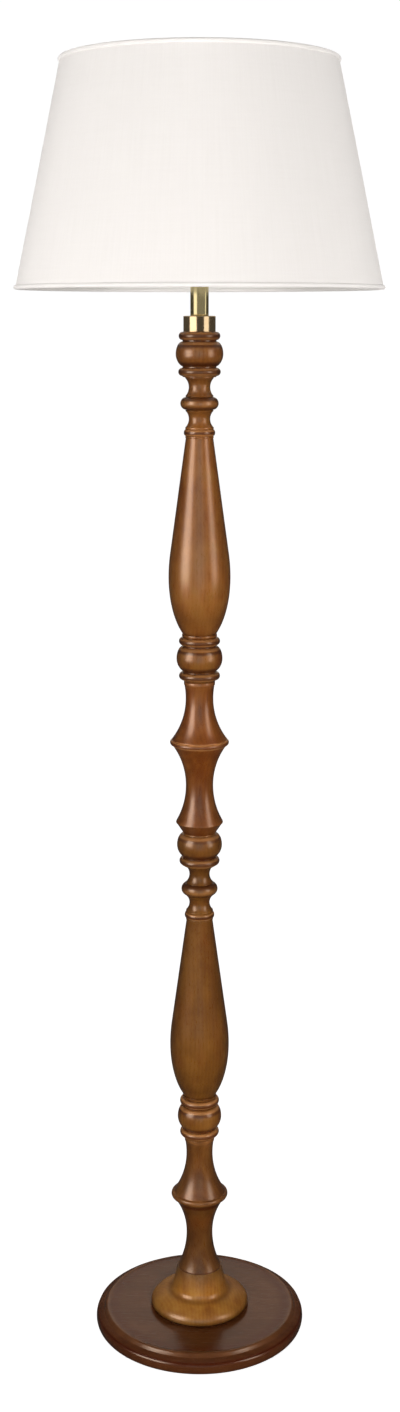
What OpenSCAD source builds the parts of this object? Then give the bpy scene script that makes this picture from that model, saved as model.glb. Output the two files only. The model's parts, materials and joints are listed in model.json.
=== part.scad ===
// Turned wooden floor lamp. A weighted round base carries a column of turned sections,
// which a hollow threaded tube clamps together. A brass collar and riser lead to a
// switched screw lampholder, and a tapered linen shade sits on its fitter ring.
// The origin is on the floor, on the column's axis. The cord inlet is at the back, +Y.

/* [Base] */
// Widest diameter of the base disc
base_d = 283; // [270:1:330]
// Height of the base disc's wood
base_h = 23; // [22:0.5:30]
// Diameter of the flat on top of the base
base_top_d = 246; // [200:1:252]
// Height of the rounded band around the bottom of the base
base_band_h = 14; // [13:0.5:15]
// Depth of the groove between the band and the upper moulding
base_groove = 3; // [1:0.25:5]
// Width of the wooden rim around the board that closes the underside
rim_w = 19.5; // [18:0.5:26]
// Thickness of that board
cover_t = 2; // [1.5:0.25:2.5]
// How far the board reaches past the ballast disc, where its screws go
cover_lip = 11.5; // [10:0.5:30]
// Thickness of the ballast disc
ballast_t = 6; // [4:0.25:6.5]
// Room for screw heads under the ballast disc
ballast_room = 3.5; // [3:0.25:4]
// How far a foot pad stands below the wood
pad_proud = 2; // [1:0.25:4]

/* [Cord inlet] */
// Bore of the cord bush
inlet_bore_d = 7.2; // [6:0.1:7.6]
// Outer diameter of the cord bush's barrel
inlet_barrel_d = 8.8; // [8.4:0.1:9.2]
// Diameter of the cord bush's flange
inlet_flange_d = 13; // [11:0.5:14]
// Height of the cord inlet above the underside of the wood
inlet_rise = 7.4; // [6.8:0.1:8]

/* [Foot and stem] */
// Widest diameter of the bell foot
bell_d = 132; // [116:1:150]
// Height of the bell foot
bell_h = 56.5; // [50:0.5:75]
// Diameter of the bell foot at its top
bell_top_d = 60; // [56:1:64]
// Diameter of the bell foot's waist, where its neck turns into the hollow
bell_waist_d = 71; // [68:0.5:76]
// Height of that waist above the base
bell_waist_rise = 29.5; // [27:0.5:36]
// Diameter of the bell foot's shoulder, where the hollow turns into the dome
bell_shoulder_d = 86; // [82:1:92]
// Height of that shoulder above the base
bell_shoulder_rise = 21; // [18:0.5:23]
// Height of the stem between the bell foot and the first baluster
stem_h = 189.7; // [165:0.1:225]
// Diameter of the stem's two necks
stem_neck_d = 35.2; // [32:0.2:40]
// Diameter of the stem's flared skirt
skirt_d = 76; // [60:0.2:90]
// Height of the skirt's edge above the bell foot
skirt_rise = 106.5; // [95:0.5:118]
// Height of the skirt's rounded edge
skirt_edge_h = 7.8; // [6:0.2:11]
// Height of the thinnest place below the skirt
stem_low_neck = 49.5; // [38:0.5:60]
// Depth of the thinnest place above the skirt, from the stem's top
stem_high_neck = 23.5; // [14:0.5:30]

/* [Balusters] */
// Diameter of the plain rings
ring_d = 52.2; // [48:0.2:56]
// Height of a plain ring
ring_h = 10; // [8:0.2:12]
// Diameter of the grooves beside the rings
groove_d = 41.6; // [38:0.2:46]
// Height of such a groove
groove_h = 1.6; // [1:0.1:3]
// Diameter of the round knops
knop_d = 58.4; // [54:0.2:64]
// Height of the lower round knop
knop_h = 31.5; // [26:0.5:36]
// Height of the upper round knop
top_knop_h = 30; // [24:0.5:34]
// How much the knop's lower half is drawn in
knop_taper = 1.4; // [1:0.1:2]
// Widest diameter of the vase
vase_d = 78; // [66:0.5:92]
// Height of the vase's belly, from its foot to its widest place
vase_belly_h = 72; // [60:0.5:84]
// Height of the vase from its widest place to its top
vase_cone_h = 174; // [140:1:210]
// Diameter of the vase's top
vase_top_d = 34; // [30:0.2:37]
// Radius of the shoulder that leads from the belly into the cone
shoulder_r = 220; // [150:5:300]
// Diameter of the small ring above the vase
small_ring_d = 38.8; // [36:0.2:44]
// Diameter of the thin necks beside the bead
neck_d = 26.4; // [23:0.2:29]
// Height of the hollow below the bead
neck_h = 20.5; // [16:0.5:26]
// Height of the hollow above the bead
top_neck_h = 22; // [16:0.5:26]
// Diameter of the bead between the thin necks
bead_d = 47.2; // [42:0.2:54]
// Height of that bead
bead_h = 15.5; // [12:0.5:20]

/* [Middle spool] */
// Height of the spool between the balusters
spool_h = 199.5; // [180:0.5:230]
// Diameter of the spool's two necks
spool_neck_d = 35.2; // [32:0.2:40]
// Diameter of the cup edge at the spool's foot
cup_d = 60.8; // [54:0.2:66]
// Height of the cup's underside
cup_h = 14; // [9:0.5:18]
// Height of the thinnest place below the rim
spool_low_neck = 63; // [50:1:74]
// Depth of the thinnest place above the rim, from the spool's top
spool_high_neck = 22; // [14:1:30]
// Diameter of the sharp rim in the middle of the spool
rim_d = 75.6; // [64:0.2:90]
// Height of that rim above the spool's foot
rim_rise = 120; // [105:1:135]
// Thickness of the rim's rounded nose
rim_t = 6.5; // [5:0.5:11]

/* [Tube and joints] */
// Outer diameter of the threaded tube
tube_d = 10; // [9.6:0.1:11]
// Bore of the threaded tube
tube_bore_d = 8; // [7:0.1:8.4]
// Diameter of the round tenons between the wooden sections
tenon_d = 22; // [21:0.25:24]
// Length of those tenons
tenon_h = 10; // [8:0.5:14]
// Diameter of the coupler that joins the tube's two lengths
coupler_d = 14; // [13.4:0.2:14.8]
// Length of the coupler
coupler_h = 22; // [18:0.5:22]
// Width across the flats of the clamp nuts
nut_af = 14; // [13.5:0.25:15]
// Thickness of the clamp nuts
nut_t = 4; // [3:0.25:5]
// Diameter of the washer under the base
base_washer_d = 36; // [24:0.5:40]

/* [Brass collar and riser] */
// Diameter of the collar
collar_d = 39.4; // [38.6:0.2:41]
// Height of the collar
collar_h = 19; // [14:0.5:26]
// Wall of the collar
collar_wall = 1.2; // [0.8:0.1:1.6]
// Outer diameter of the riser
riser_d = 22.3; // [21.5:0.1:24]
// Wall of the riser
riser_wall = 1; // [0.6:0.1:1.2]
// Height of the riser
riser_h = 54; // [50:1:70]

/* [Lampholder] */
// Outer diameter of the lampholder's body
holder_d = 38.6; // [38:0.1:39]
// Wall of the lampholder's body
holder_wall = 1; // [0.8:0.1:1.1]
// Height of the lampholder's cap
cap_h = 24; // [22:0.5:26]
// Diameter of the flange that the shade rests on
flange_d = 51; // [46:0.5:54]
// Height of that flange above the riser
flange_rise = 44; // [42:0.5:46]
// Height of the lampholder from the riser to its mouth
holder_h = 76; // [74:0.5:80]
// Height of the switch bar above the riser
switch_rise = 32; // [31:0.25:33]
// Diameter of the switch bar
switch_d = 6; // [5:0.1:6.4]
// Travel of the switch bar
switch_travel = 6; // [4:0.5:6.5]
// How far the switch bar's button stands out at rest
switch_out = 8; // [8:0.5:10]

/* [Bulb] */
// Diameter over the bulb cap's thread
bulb_cap_d = 26.4; // [26:0.1:26.6]
// Diameter of the bulb's glass
bulb_d = 60; // [50:1:70]
// Length of the bulb with its cap
bulb_h = 108; // [100:1:125]

/* [Shade] */
// Outer diameter of the shade at the bottom, over the hem
shade_bottom_d = 450; // [380:5:520]
// Outer diameter of the shade at the top, over the hem
shade_top_d = 335; // [240:5:360]
// Height of the shade
shade_h = 267; // [240:1:320]
// Height of the shade's fitter ring above its bottom edge
fitter_rise = 69.5; // [55:0.5:70]
// Diameter of the rolled hems
hem_d = 5.4; // [5:0.1:7]
// Diameter of the frame's wire
wire_d = 3.2; // [2.4:0.1:3.4]
// Thickness of the shade's stiff liner
liner_t = 0.6; // [0.4:0.05:0.7]
// Thickness of the shade's linen
linen_t = 0.5; // [0.3:0.05:0.6]
// Outer diameter of the fitter ring
fitter_d = 55; // [52:0.5:60]
// Thickness of the fitter ring
fitter_t = 2.5; // [1.5:0.1:3]
// Diameter of the carrier's arms
arm_d = 2.4; // [2:0.1:2.4]
// Number of arms in the shade's carrier
arm_count = 3; // [3:1:4]
// Height of the retaining ring
retainer_h = 8; // [6:0.5:10]
// Outer diameter of the retaining ring
retainer_d = 52; // [48:0.5:58]

/* [Hidden] */
$fn = 96;

// Clearances: threads and tenons, loose seats, and the running gap between moving bodies
snug = 0.05;
loose = 0.25;
gap = 0.3;

// Steps along the small mouldings and along the long curves of an outline
fine = 8;
long = 12;

// Heights of the joints, from the floor up
z_wood = pad_proud;
z_base_top = z_wood + base_h;
lip = 0.6;
z_seat = z_base_top - lip;
z_bell = z_seat - 1.5;
bell_seat_r = bell_d / 2 - 4;
z_bell_top = z_base_top + bell_h;
z_stem_top = z_bell_top + stem_h;
vase_h = vase_belly_h + vase_cone_h;
small_ring_h = 8;
fillet_h = 2.4;
quirk_h = 1;
baluster_h = 3 * ring_h + knop_h + top_knop_h + 5 * groove_h + 5 * fillet_h + vase_h
    + small_ring_h + neck_h + top_neck_h + bead_h + 2 * quirk_h;
z_low_top = z_stem_top + baluster_h;
z_spool_top = z_low_top + spool_h;
z_up_top = z_spool_top + baluster_h;
z_wood_top = z_up_top + ring_h;
z_collar_top = z_wood_top + collar_h;
z_riser_top = z_collar_top + riser_h;

// Underside of the base
base_r = base_d / 2;
cover_r = base_r - rim_w;
z_cover_top = z_wood + cover_t;
z_ballast = z_cover_top + ballast_room;
z_ballast_top = z_ballast + ballast_t;
ballast_r = cover_r - cover_lip;
cover_screw_r = (ballast_r + cover_r) / 2;
band_bulge = 3;
pad_margin = 1.25;
pad_d = rim_w - band_bulge - 2 * pad_margin;
pad_r = cover_r + pad_margin + pad_d / 2;
pad_sunk = 1.5;
well_r = base_washer_d / 2 + 3;
washer_t = 1.5;
z_well_top = z_ballast_top + 2.5;
z_base_nut = z_well_top - washer_t - nut_t;
z_tube_foot = z_base_nut - 0.5;
inlet_z = z_wood + inlet_rise;
inlet_y = base_r - 2;
inlet_barrel_l = rim_w - 1;
channel_w = inlet_barrel_d + 2;

// Tube, tenons and nuts
tube_r = tube_d / 2;
wood_bore_r = tube_r + loose;
tenon_r = tenon_d / 2;
socket_r = tenon_r + 0.1;
socket_h = tenon_h + 0.5;
coupler_r = coupler_d / 2;
z_tube_joint = z_low_top - coupler_h / 2 + tenon_h - 1;
collar_seat_r = collar_d / 2 - collar_wall - 0.1;
collar_seat_h = 6;

// Lampholder and bulb, measured up from the riser
z_switch = z_riser_top + switch_rise;
z_flange = z_riser_top + flange_rise;
flange_t = 2;
z_mouth = z_riser_top + holder_h;
z_tube_top = z_riser_top + 12;
holder_r = holder_d / 2;
core_r = holder_r - holder_wall - 0.1;
core_h = 32;
z_core = z_riser_top + 18;
z_core_top = z_core + core_h;
shell_r = bulb_cap_d / 2 + 0.35;
shell_wall = 0.5;
shell_h = 24;
contact_h = 2;
z_bulb = z_core_top + contact_h + gap;
bulb_r = bulb_d / 2;
bulb_cap_r = bulb_cap_d / 2;
cap_insulator_h = 3;
bulb_cap_h = 25;
glass_wall = 1;
switch_r = switch_d / 2;
through = holder_d + 20;
bridge_d = 12;
bridge_t = 1.5;
contact_d = 1.5;
contact_x = -switch_travel - bridge_t / 2 - gap - contact_d / 2;
wiring_r = tube_r + 6;

// Shade
z_fitter = z_flange + flange_t + gap;
fitter_bore_r = holder_r + 0.7;
z_shade = z_fitter - fitter_rise;
z_shade_top = z_shade + shade_h;
hem_r = hem_d / 2;
wire_r = wire_d / 2;
low_wire = [shade_bottom_d / 2 - hem_r, z_shade + hem_r];
high_wire = [shade_top_d / 2 - hem_r, z_shade_top - hem_r];
slant = atan2(low_wire[0] - high_wire[0], high_wire[1] - low_wire[1]);
skin_l = norm(high_wire - low_wire);
skin_cut = wire_r + 0.7;
z_retainer = z_fitter + fitter_t + gap;
retainer_bore_r = holder_r + 0.08;

// ---- Outline elements: each gives [radius, height] points from the bottom up ----

// A rounded ring that swells from radius r0 to r1 and back over height h
function ring_line(z, h, r0, r1, n = fine) =
    [for (i = [0:n]) let (a = 180 * i / n) [r0 + (r1 - r0) * sin(a), z + h / 2 * (1 - cos(a))]];

// A knop: round above, and drawn in more towards its foot
function knop_line(z, h) =
    [for (i = [0:long]) let (a = 180 * i / long, swell = pow(sin(a), a < 90 ? knop_taper : 1))
        [groove_r + (knop_r - groove_r) * swell, z + h / 2 * (1 - cos(a))]];

// A circular arc that leaves the axis direction at a neck and ends at a wider edge;
// dz is the signed way from the neck to the edge
function flare_line(z_neck, r_neck, dz, r_edge, n = long) =
    let (
        dr = r_edge - r_neck,
        r_arc = (dz * dz + dr * dr) / (2 * dr),
        sweep = 2 * atan2(dr, abs(dz))
    )
    [for (i = [0:n]) let (a = sweep * i / n)
        [r_neck + r_arc * (1 - cos(a)), z_neck + sign(dz) * r_arc * sin(a)]];

// A circular arc down from one [radius, height] point to another, which sets out at the
// angle a0 from the axis direction
function arc_line(from, to, a0, n = fine) =
    let (
        half = atan2(to[0] - from[0], from[1] - to[1]) - a0,
        r_arc = norm(to - from) / (2 * sin(half))
    )
    [for (i = [0:n]) let (a = a0 + 2 * half * i / n)
        from + r_arc * [cos(a0) - cos(a), sin(a0) - sin(a)]];

function turned_over(points) = [for (i = [len(points) - 1:-1:0]) points[i]];

// A hollow around a neck, between a lower edge and an upper edge
function hollow_line(z, h, r_low, r_neck, r_high, n = fine) = concat(
    turned_over(flare_line(z + h / 2, r_neck, -h / 2, r_low, n)),
    [for (p = flare_line(z + h / 2, r_neck, h / 2, r_high, n)) if (p[1] > z + h / 2) p]
);

// A vase: an elliptical belly, a round shoulder and a straight cone
function vase_line(z, r_foot) =
    let (
        r = vase_d / 2,
        a_foot = acos(r_foot / r),
        semi_h = vase_belly_h / sin(a_foot),
        z_wide = z + vase_belly_h,
        reach = [vase_top_r - r + shoulder_r, vase_cone_h],
        a_cone = atan2(reach[1], reach[0]) - acos(shoulder_r / norm(reach))
    )
    concat(
        [for (i = [0:long]) let (a = a_foot * (1 - i / long)) [r * cos(a), z_wide - semi_h * sin(a)]],
        [for (i = [1:4]) let (a = a_cone * i / 4)
            [r - shoulder_r * (1 - cos(a)), z_wide + shoulder_r * sin(a)]],
        [[vase_top_r, z_wide + vase_cone_h]]
    );

// ---- Outlines of the wooden pieces ----

ring_r = ring_d / 2;
groove_r = groove_d / 2;
knop_r = knop_d / 2;
neck_r = neck_d / 2;
small_ring_r = small_ring_d / 2;
vase_foot_r = groove_r;
vase_top_r = vase_top_d / 2;
neck_edge_r = neck_r + 4.4;

// Ring, knop, ring and vase, then two thin necks around a bead, a ring and a knop
function baluster_line(z) =
    let (
        z1 = z + fillet_h,
        z2 = z1 + ring_h + groove_h,
        z3 = z2 + knop_h + groove_h,
        z4 = z3 + ring_h + groove_h,
        z5 = z4 + fillet_h + vase_h,
        z6 = z5 + fillet_h,
        z7 = z6 + small_ring_h + fillet_h,
        z8 = z7 + neck_h + quirk_h,
        z9 = z8 + bead_h + quirk_h,
        z10 = z9 + top_neck_h + fillet_h,
        z11 = z10 + ring_h + groove_h
    )
    concat(
        [[groove_r - 1, z], [groove_r - 1, z1 - 0.8]],
        ring_line(z1, ring_h, groove_r, ring_r),
        knop_line(z2, knop_h),
        ring_line(z3, ring_h, groove_r, ring_r),
        [[groove_r + 1.4, z4], [groove_r + 1.4, z4 + fillet_h]],
        vase_line(z4 + fillet_h, vase_foot_r),
        [[vase_top_r + 0.7, z5 + 0.3], [vase_top_r + 0.7, z6 - 0.8], [vase_top_r, z6 - 0.6]],
        ring_line(z6, small_ring_h, vase_top_r, small_ring_r),
        [[neck_edge_r, z6 + small_ring_h + 0.6]],
        hollow_line(z7, neck_h, neck_edge_r, neck_r, neck_edge_r),
        ring_line(z8, bead_h, neck_edge_r - 1.4, bead_d / 2),
        hollow_line(z9, top_neck_h, neck_edge_r, neck_r, neck_edge_r),
        [[neck_edge_r, z10 - 1.4], [groove_r, z10 - 1.2]],
        ring_line(z10, ring_h, groove_r, ring_r),
        knop_line(z11, top_knop_h),
        [[groove_r, z11 + top_knop_h + groove_h]]
    );

// A flared skirt with a rounded edge and a flat underside, between two necks
function stem_line(z) =
    let (
        r_neck = stem_neck_d / 2,
        r_skirt = skirt_d / 2,
        z_skirt = z + skirt_rise,
        nose_h = skirt_edge_h / 2,
        nose_w = 3.6,
        r_under = r_neck + 12,
        z_under = z_skirt - nose_h - 4.5,
        z_low_neck = z + stem_low_neck,
        z_high_neck = z + stem_h - stem_high_neck,
        z_top = z + stem_h
    )
    concat(
        turned_over(flare_line(z_low_neck, r_neck, z - z_low_neck, bell_top_d / 2 - 1)),
        [for (p = flare_line(z_low_neck, r_neck, z_under - 3 - z_low_neck, r_under)) if (p[1] > z_low_neck) p],
        [[r_under + 1, z_under]],
        [for (i = [0:long]) let (a = 180 * i / long)
            [r_skirt - nose_w + nose_w * sin(a), z_skirt - nose_h * cos(a)]],
        turned_over(flare_line(z_high_neck, r_neck, z_skirt + nose_h + 1 - z_high_neck, r_skirt - nose_w - 0.8)),
        [for (p = flare_line(z_high_neck, r_neck, z_top - 6 - z_high_neck, r_neck + 1.5, 4))
            if (p[1] > z_high_neck) p],
        [[groove_r - 1, z_top - 5], [groove_r - 1, z_top]]
    );

// A cup edge, a sharp rim in the middle and a neck on each side of it
function spool_line(z) =
    let (
        r_neck = spool_neck_d / 2,
        r_cup = cup_d / 2,
        r_rim = rim_d / 2,
        z_low_neck = z + spool_low_neck,
        z_rim = z + rim_rise,
        z_high_neck = z + spool_h - spool_high_neck,
        z_top = z + spool_h
    )
    concat(
        [[groove_r, z], [groove_r, z + 1], [groove_r + 1, z + 1.2], [r_cup - 1.2, z + cup_h - 1.5]],
        [[r_cup - 0.3, z + cup_h - 0.8], [r_cup, z + cup_h], [r_cup - 0.3, z + cup_h + 1.2]],
        turned_over(flare_line(z_low_neck, r_neck, z + cup_h + 2.5 - z_low_neck, r_cup - 1)),
        [for (p = flare_line(z_low_neck, r_neck, z_rim - rim_t / 2 - z_low_neck, r_rim - 3))
            if (p[1] > z_low_neck) p],
        [for (i = [1:fine - 1]) let (a = 180 * i / fine)
            [r_rim - 3 + 3 * sin(a), z_rim - rim_t / 2 * cos(a)]],
        [[r_rim - 3.4, z_rim + rim_t / 2], [r_rim - 3.4, z_rim + rim_t / 2 + 1]],
        turned_over(flare_line(z_high_neck, r_neck, z_rim + rim_t / 2 + 1 - z_high_neck, r_rim - 2.6)),
        [for (p = flare_line(z_high_neck, r_neck, z_top - 5 - z_high_neck, r_neck + 1.5, 4))
            if (p[1] > z_high_neck) p],
        [[groove_r - 1, z_top - 4], [groove_r - 1, z_top]]
    );

// A bell: a neck that widens down to the waist, a hollow below it and a flat dome, with a
// small undercut above the base
function bell_line() =
    let (
        r = bell_d / 2,
        top = [bell_top_d / 2, z_bell_top],
        waist = [bell_waist_d / 2, z_base_top + bell_waist_rise],
        shoulder = [bell_shoulder_d / 2, z_base_top + bell_shoulder_rise],
        z_under = z_seat + 1.2,
        z_wide = z_seat + 4.7,
        dome = 52
    )
    concat(
        [[bell_seat_r, z_bell], [bell_seat_r, z_under]],
        [for (i = [1:fine]) let (a = 90 * i / fine)
            [bell_seat_r + 1 + (r - bell_seat_r - 1) * sin(a), z_wide - (z_wide - z_under) * cos(a)]],
        [for (i = [1:long - 1]) let (a = dome * i / long)
            [shoulder[0] + (r - shoulder[0]) * (cos(a) - cos(dome)) / (1 - cos(dome)),
                z_wide + (shoulder[1] - z_wide) * sin(a) / sin(dome)]],
        turned_over(arc_line(waist, shoulder, atan2(waist[0] - top[0], top[1] - waist[1]))),
        [top]
    );

// The base disc's edge: a rounded band, a groove and an upper moulding
function base_line() =
    let (
        r_top = base_top_d / 2 + 4,
        r_groove = base_r - base_groove,
        z_groove = z_wood + base_band_h,
        z_mould = z_groove + 1.2
    )
    concat(
        [for (i = [0:fine]) let (a = 180 * i / fine)
            [base_r - band_bulge + band_bulge * sin(a), z_wood + base_band_h / 2 * (1 - cos(a))]],
        [[r_groove, z_groove + 0.2], [r_groove, z_mould]],
        [for (i = [0:fine]) let (a = 90 * i / fine)
            [r_top + (r_groove + 1 - r_top) * cos(a), z_mould + (z_base_top - z_mould) * sin(a)]],
        [[base_top_d / 2, z_seat]]
    );

// A solid of revolution from an outline that closes on its bore
module lathe(points) rotate_extrude($fn = 96) polygon(points);

// A wooden section: its outline with a socket below, a tenon above and the tube's bore.
// The wide part of the bore at the top, if any, takes the coupler.
module wood_section(outline, z0, z1, wide_r = 0, wide_h = 0) {
    top_r = wide_r > 0 ? wide_r : wood_bore_r;
    bore = wide_r > 0
        ? [[top_r, z1 + tenon_h], [top_r, z1 + tenon_h - wide_h], [wood_bore_r, z1 + tenon_h - wide_h]]
        : [[top_r, z1 + tenon_h]];
    lathe(concat(
        [[wood_bore_r, z0 + socket_h], [socket_r, z0 + socket_h], [socket_r, z0]],
        outline,
        [[tenon_r, z1], [tenon_r, z1 + tenon_h]],
        bore
    ));
}

module ring_of(count, r, turn = 0) {
    for (i = [0:count - 1]) rotate(turn + 360 * i / count) translate([r, 0, 0]) children();
}

// A countersunk screw that points up: flat head face at z, shank to the given length
module wood_screw(z, d, length, wider = 0) {
    head_h = d / 2;
    rotate_extrude($fn = 32) polygon([
        [0, z], [d + wider, z], [d / 2 + wider, z + head_h], [d / 2 + wider, z + length + wider],
        [0, z + length + wider],
    ]);
}

// ---- Base ----

ballast_screw_d = 4;
ballast_screw_l = ballast_t + 6;
ballast_screw_r = ballast_r * 0.62;
cover_screw_d = 3;
cover_screw_l = cover_t + 7;

module base_disc() {
    color("saddlebrown") difference() {
        lathe(concat([[0, z_wood]], base_line(), [[0, z_seat]]));
        cylinder(r = cover_r + loose, h = z_cover_top);
        cylinder(r = ballast_r + loose, h = z_ballast_top);
        cylinder(r = well_r, h = z_well_top);
        cylinder(r = wood_bore_r, h = z_base_top + 1);
        translate([0, 0, z_bell]) cylinder(r = bell_seat_r + 0.1, h = base_h);
        ring_of(4, pad_r, 45) cylinder(d = pad_d + 0.2, h = z_wood + pad_sunk, $fn = 48);
        ring_of(4, ballast_screw_r, 45)
            cylinder(d = ballast_screw_d + 0.1, h = z_ballast + ballast_screw_l + 0.1, $fn = 32);
        ring_of(4, cover_screw_r, 45)
            cylinder(d = cover_screw_d + 0.1, h = z_wood + cover_screw_l + 0.1, $fn = 32);
        translate([0, 0, inlet_z]) rotate([-90, 0, 0]) {
            translate([0, 0, ballast_r - 3]) cylinder(d = inlet_barrel_d + 0.2, h = base_r, $fn = 48);
            translate([0, 0, inlet_y]) cylinder(d = inlet_flange_d + 0.4, h = 10, $fn = 48);
        }
    }
}

module ballast_disc() {
    color("dimgray") translate([0, 0, z_ballast]) difference() {
        cylinder(r = ballast_r, h = ballast_t);
        translate([0, 0, -1]) cylinder(r = well_r, h = ballast_t + 2);
        translate([-channel_w / 2, 0, -1]) cube([channel_w, ballast_r + 1, ballast_t + 2]);
        ring_of(4, ballast_screw_r, 45) wood_screw(-0.001, ballast_screw_d, ballast_t + 1, 0.15);
    }
}

module ballast_screws() {
    color("silver") ring_of(4, ballast_screw_r, 45) wood_screw(z_ballast, ballast_screw_d, ballast_screw_l);
}

module base_cover() {
    color("darkslategray") translate([0, 0, z_wood]) difference() {
        cylinder(r = cover_r, h = cover_t);
        ring_of(4, cover_screw_r, 45) wood_screw(-0.001, cover_screw_d, cover_t + 1, 0.15);
    }
}

module cover_screws() {
    color("silver") ring_of(4, cover_screw_r, 45) wood_screw(z_wood, cover_screw_d, cover_screw_l);
}

module foot_pads() {
    color("black") ring_of(4, pad_r, 45) cylinder(d = pad_d, h = z_wood + pad_sunk, $fn = 48);
}

module cord_bush() {
    color("black") translate([0, inlet_y, inlet_z]) rotate([90, 0, 0]) difference() {
        union() {
            cylinder(d = inlet_barrel_d, h = inlet_barrel_l, $fn = 48);
            translate([0, 0, -2]) cylinder(d = inlet_flange_d, h = 2, $fn = 48);
        }
        translate([0, 0, -3]) cylinder(d = inlet_bore_d, h = inlet_barrel_l + 4, $fn = 48);
    }
}

module base_washer() {
    color("silver") lathe([
        [tube_r + 0.2, z_well_top - washer_t], [base_washer_d / 2, z_well_top - washer_t],
        [base_washer_d / 2, z_well_top], [tube_r + 0.2, z_well_top],
    ]);
}

module hex_nut(z) {
    translate([0, 0, z]) difference() {
        cylinder(d = nut_af / cos(30), h = nut_t, $fn = 6);
        translate([0, 0, -1]) cylinder(r = tube_r + snug, h = nut_t + 2);
    }
}

module base_nut() {
    color("silver") hex_nut(z_base_nut);
}

// ---- Column ----

module bell_foot() {
    color("peru") lathe(concat(
        [[wood_bore_r, z_bell]],
        bell_line(),
        [[tenon_r, z_bell_top], [tenon_r, z_bell_top + tenon_h], [wood_bore_r, z_bell_top + tenon_h]]
    ));
}

module foot_stem() {
    color("sienna") wood_section(stem_line(z_bell_top), z_bell_top, z_stem_top);
}

module lower_baluster() {
    color("sienna") wood_section(
        baluster_line(z_stem_top), z_stem_top, z_low_top, coupler_r + loose, coupler_h + 2);
}

module middle_spool() {
    color("sienna") wood_section(spool_line(z_low_top), z_low_top, z_spool_top);
}

module upper_baluster() {
    color("sienna") lathe(concat(
        [[wood_bore_r, z_spool_top + socket_h], [socket_r, z_spool_top + socket_h], [socket_r, z_spool_top]],
        baluster_line(z_spool_top),
        ring_line(z_up_top, ring_h, groove_r, ring_r - 0.6),
        [[collar_seat_r, z_wood_top], [collar_seat_r, z_wood_top + collar_seat_h]],
        [[wood_bore_r, z_wood_top + collar_seat_h]]
    ));
}

module tube(z0, z1) {
    lathe([[tube_bore_d / 2, z0], [tube_r, z0], [tube_r, z1], [tube_bore_d / 2, z1]]);
}

module lower_tube() {
    color("silver") tube(z_tube_foot, z_tube_joint - 0.1);
}

module upper_tube() {
    color("silver") tube(z_tube_joint + 0.1, z_tube_top);
}

module tube_coupler() {
    color("goldenrod") lathe([
        [tube_r + snug, z_tube_joint - coupler_h / 2], [coupler_r, z_tube_joint - coupler_h / 2],
        [coupler_r, z_tube_joint + coupler_h / 2], [tube_r + snug, z_tube_joint + coupler_h / 2],
    ]);
}

// ---- Brass collar and riser ----

module brass_collar() {
    r = collar_d / 2;
    round_r = 0.8;
    color("gold") lathe(concat(
        [[r - collar_wall, z_wood_top], [r, z_wood_top]],
        [for (i = [0:4]) let (a = 90 * i / 4)
            [r - round_r * (1 - cos(a)), z_collar_top - round_r * (1 - sin(a))]],
        [[tube_r + 0.2, z_collar_top], [tube_r + 0.2, z_collar_top - 2]],
        [[r - collar_wall, z_collar_top - 2]]
    ));
}

module collar_washer() {
    r = riser_d / 2 - riser_wall - 0.4;
    color("silver") lathe([
        [tube_r + 0.2, z_collar_top], [r, z_collar_top],
        [r, z_collar_top + washer_t], [tube_r + 0.2, z_collar_top + washer_t],
    ]);
}

module collar_nut() {
    color("silver") hex_nut(z_collar_top + washer_t);
}

module brass_riser() {
    r = riser_d / 2;
    color("gold") lathe([
        [r - riser_wall, z_collar_top], [r, z_collar_top],
        [r, z_riser_top], [r - riser_wall, z_riser_top],
    ]);
}

// ---- Lampholder ----

cap_r = holder_r + 0.1 + 1.2;
set_screw_z = z_riser_top + 7;

// A dome with a threaded neck inside; the body screws into its rim
module holder_cap() {
    seat_r = riser_d / 2 + 1;
    dome_h = 13;
    wall = 1.2;
    color("gold") difference() {
        lathe(concat(
            [[tube_r + snug, z_riser_top], [seat_r, z_riser_top]],
            [for (i = [0:fine]) let (a = 90 * i / fine)
                [seat_r + (cap_r - seat_r) * sin(a), z_riser_top + 2 + dome_h * (1 - cos(a))]],
            [[cap_r, z_riser_top + cap_h], [cap_r - wall, z_riser_top + cap_h]],
            [for (i = [fine:-1:0]) let (a = 90 * i / fine)
                [seat_r - wall + (cap_r - seat_r) * sin(a), z_riser_top + 3.4 + dome_h * (1 - cos(a))]],
            [[tube_r + 3.5, z_riser_top + 3.4], [tube_r + 3.5, z_riser_top + 11]],
            [[tube_r + snug, z_riser_top + 11]]
        ));
        translate([0, 0, set_screw_z]) rotate([-90, 0, 0]) cylinder(d = 3.1, h = 30, $fn = 32);
    }
}

module holder_set_screw() {
    color("silver") translate([0, tube_r + 0.1, set_screw_z]) rotate([-90, 0, 0])
        cylinder(d = 3, h = 5, $fn = 32);
}

module holder_body() {
    r_in = holder_r - holder_wall;
    z0 = z_core - 2;
    color("gold") difference() {
        lathe(concat(
            [[r_in, z0], [holder_r, z0], [holder_r, z_flange], [flange_d / 2, z_flange]],
            [[flange_d / 2, z_flange + flange_t], [holder_r, z_flange + flange_t]],
            [[holder_r, z_mouth], [r_in - 1, z_mouth], [r_in - 1, z_mouth - 1], [r_in, z_mouth - 1]]
        ));
        translate([0, 0, z_switch]) rotate([0, 90, 0])
            cylinder(r = switch_r + gap, h = through, center = true, $fn = 48);
    }
}

// The two contact pins stand beside the wiring space, where the bridge reaches them
module contact_places() {
    for (side = [-1, 1]) translate([contact_x, 4 * side, z_switch - 3]) children();
}

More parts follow.
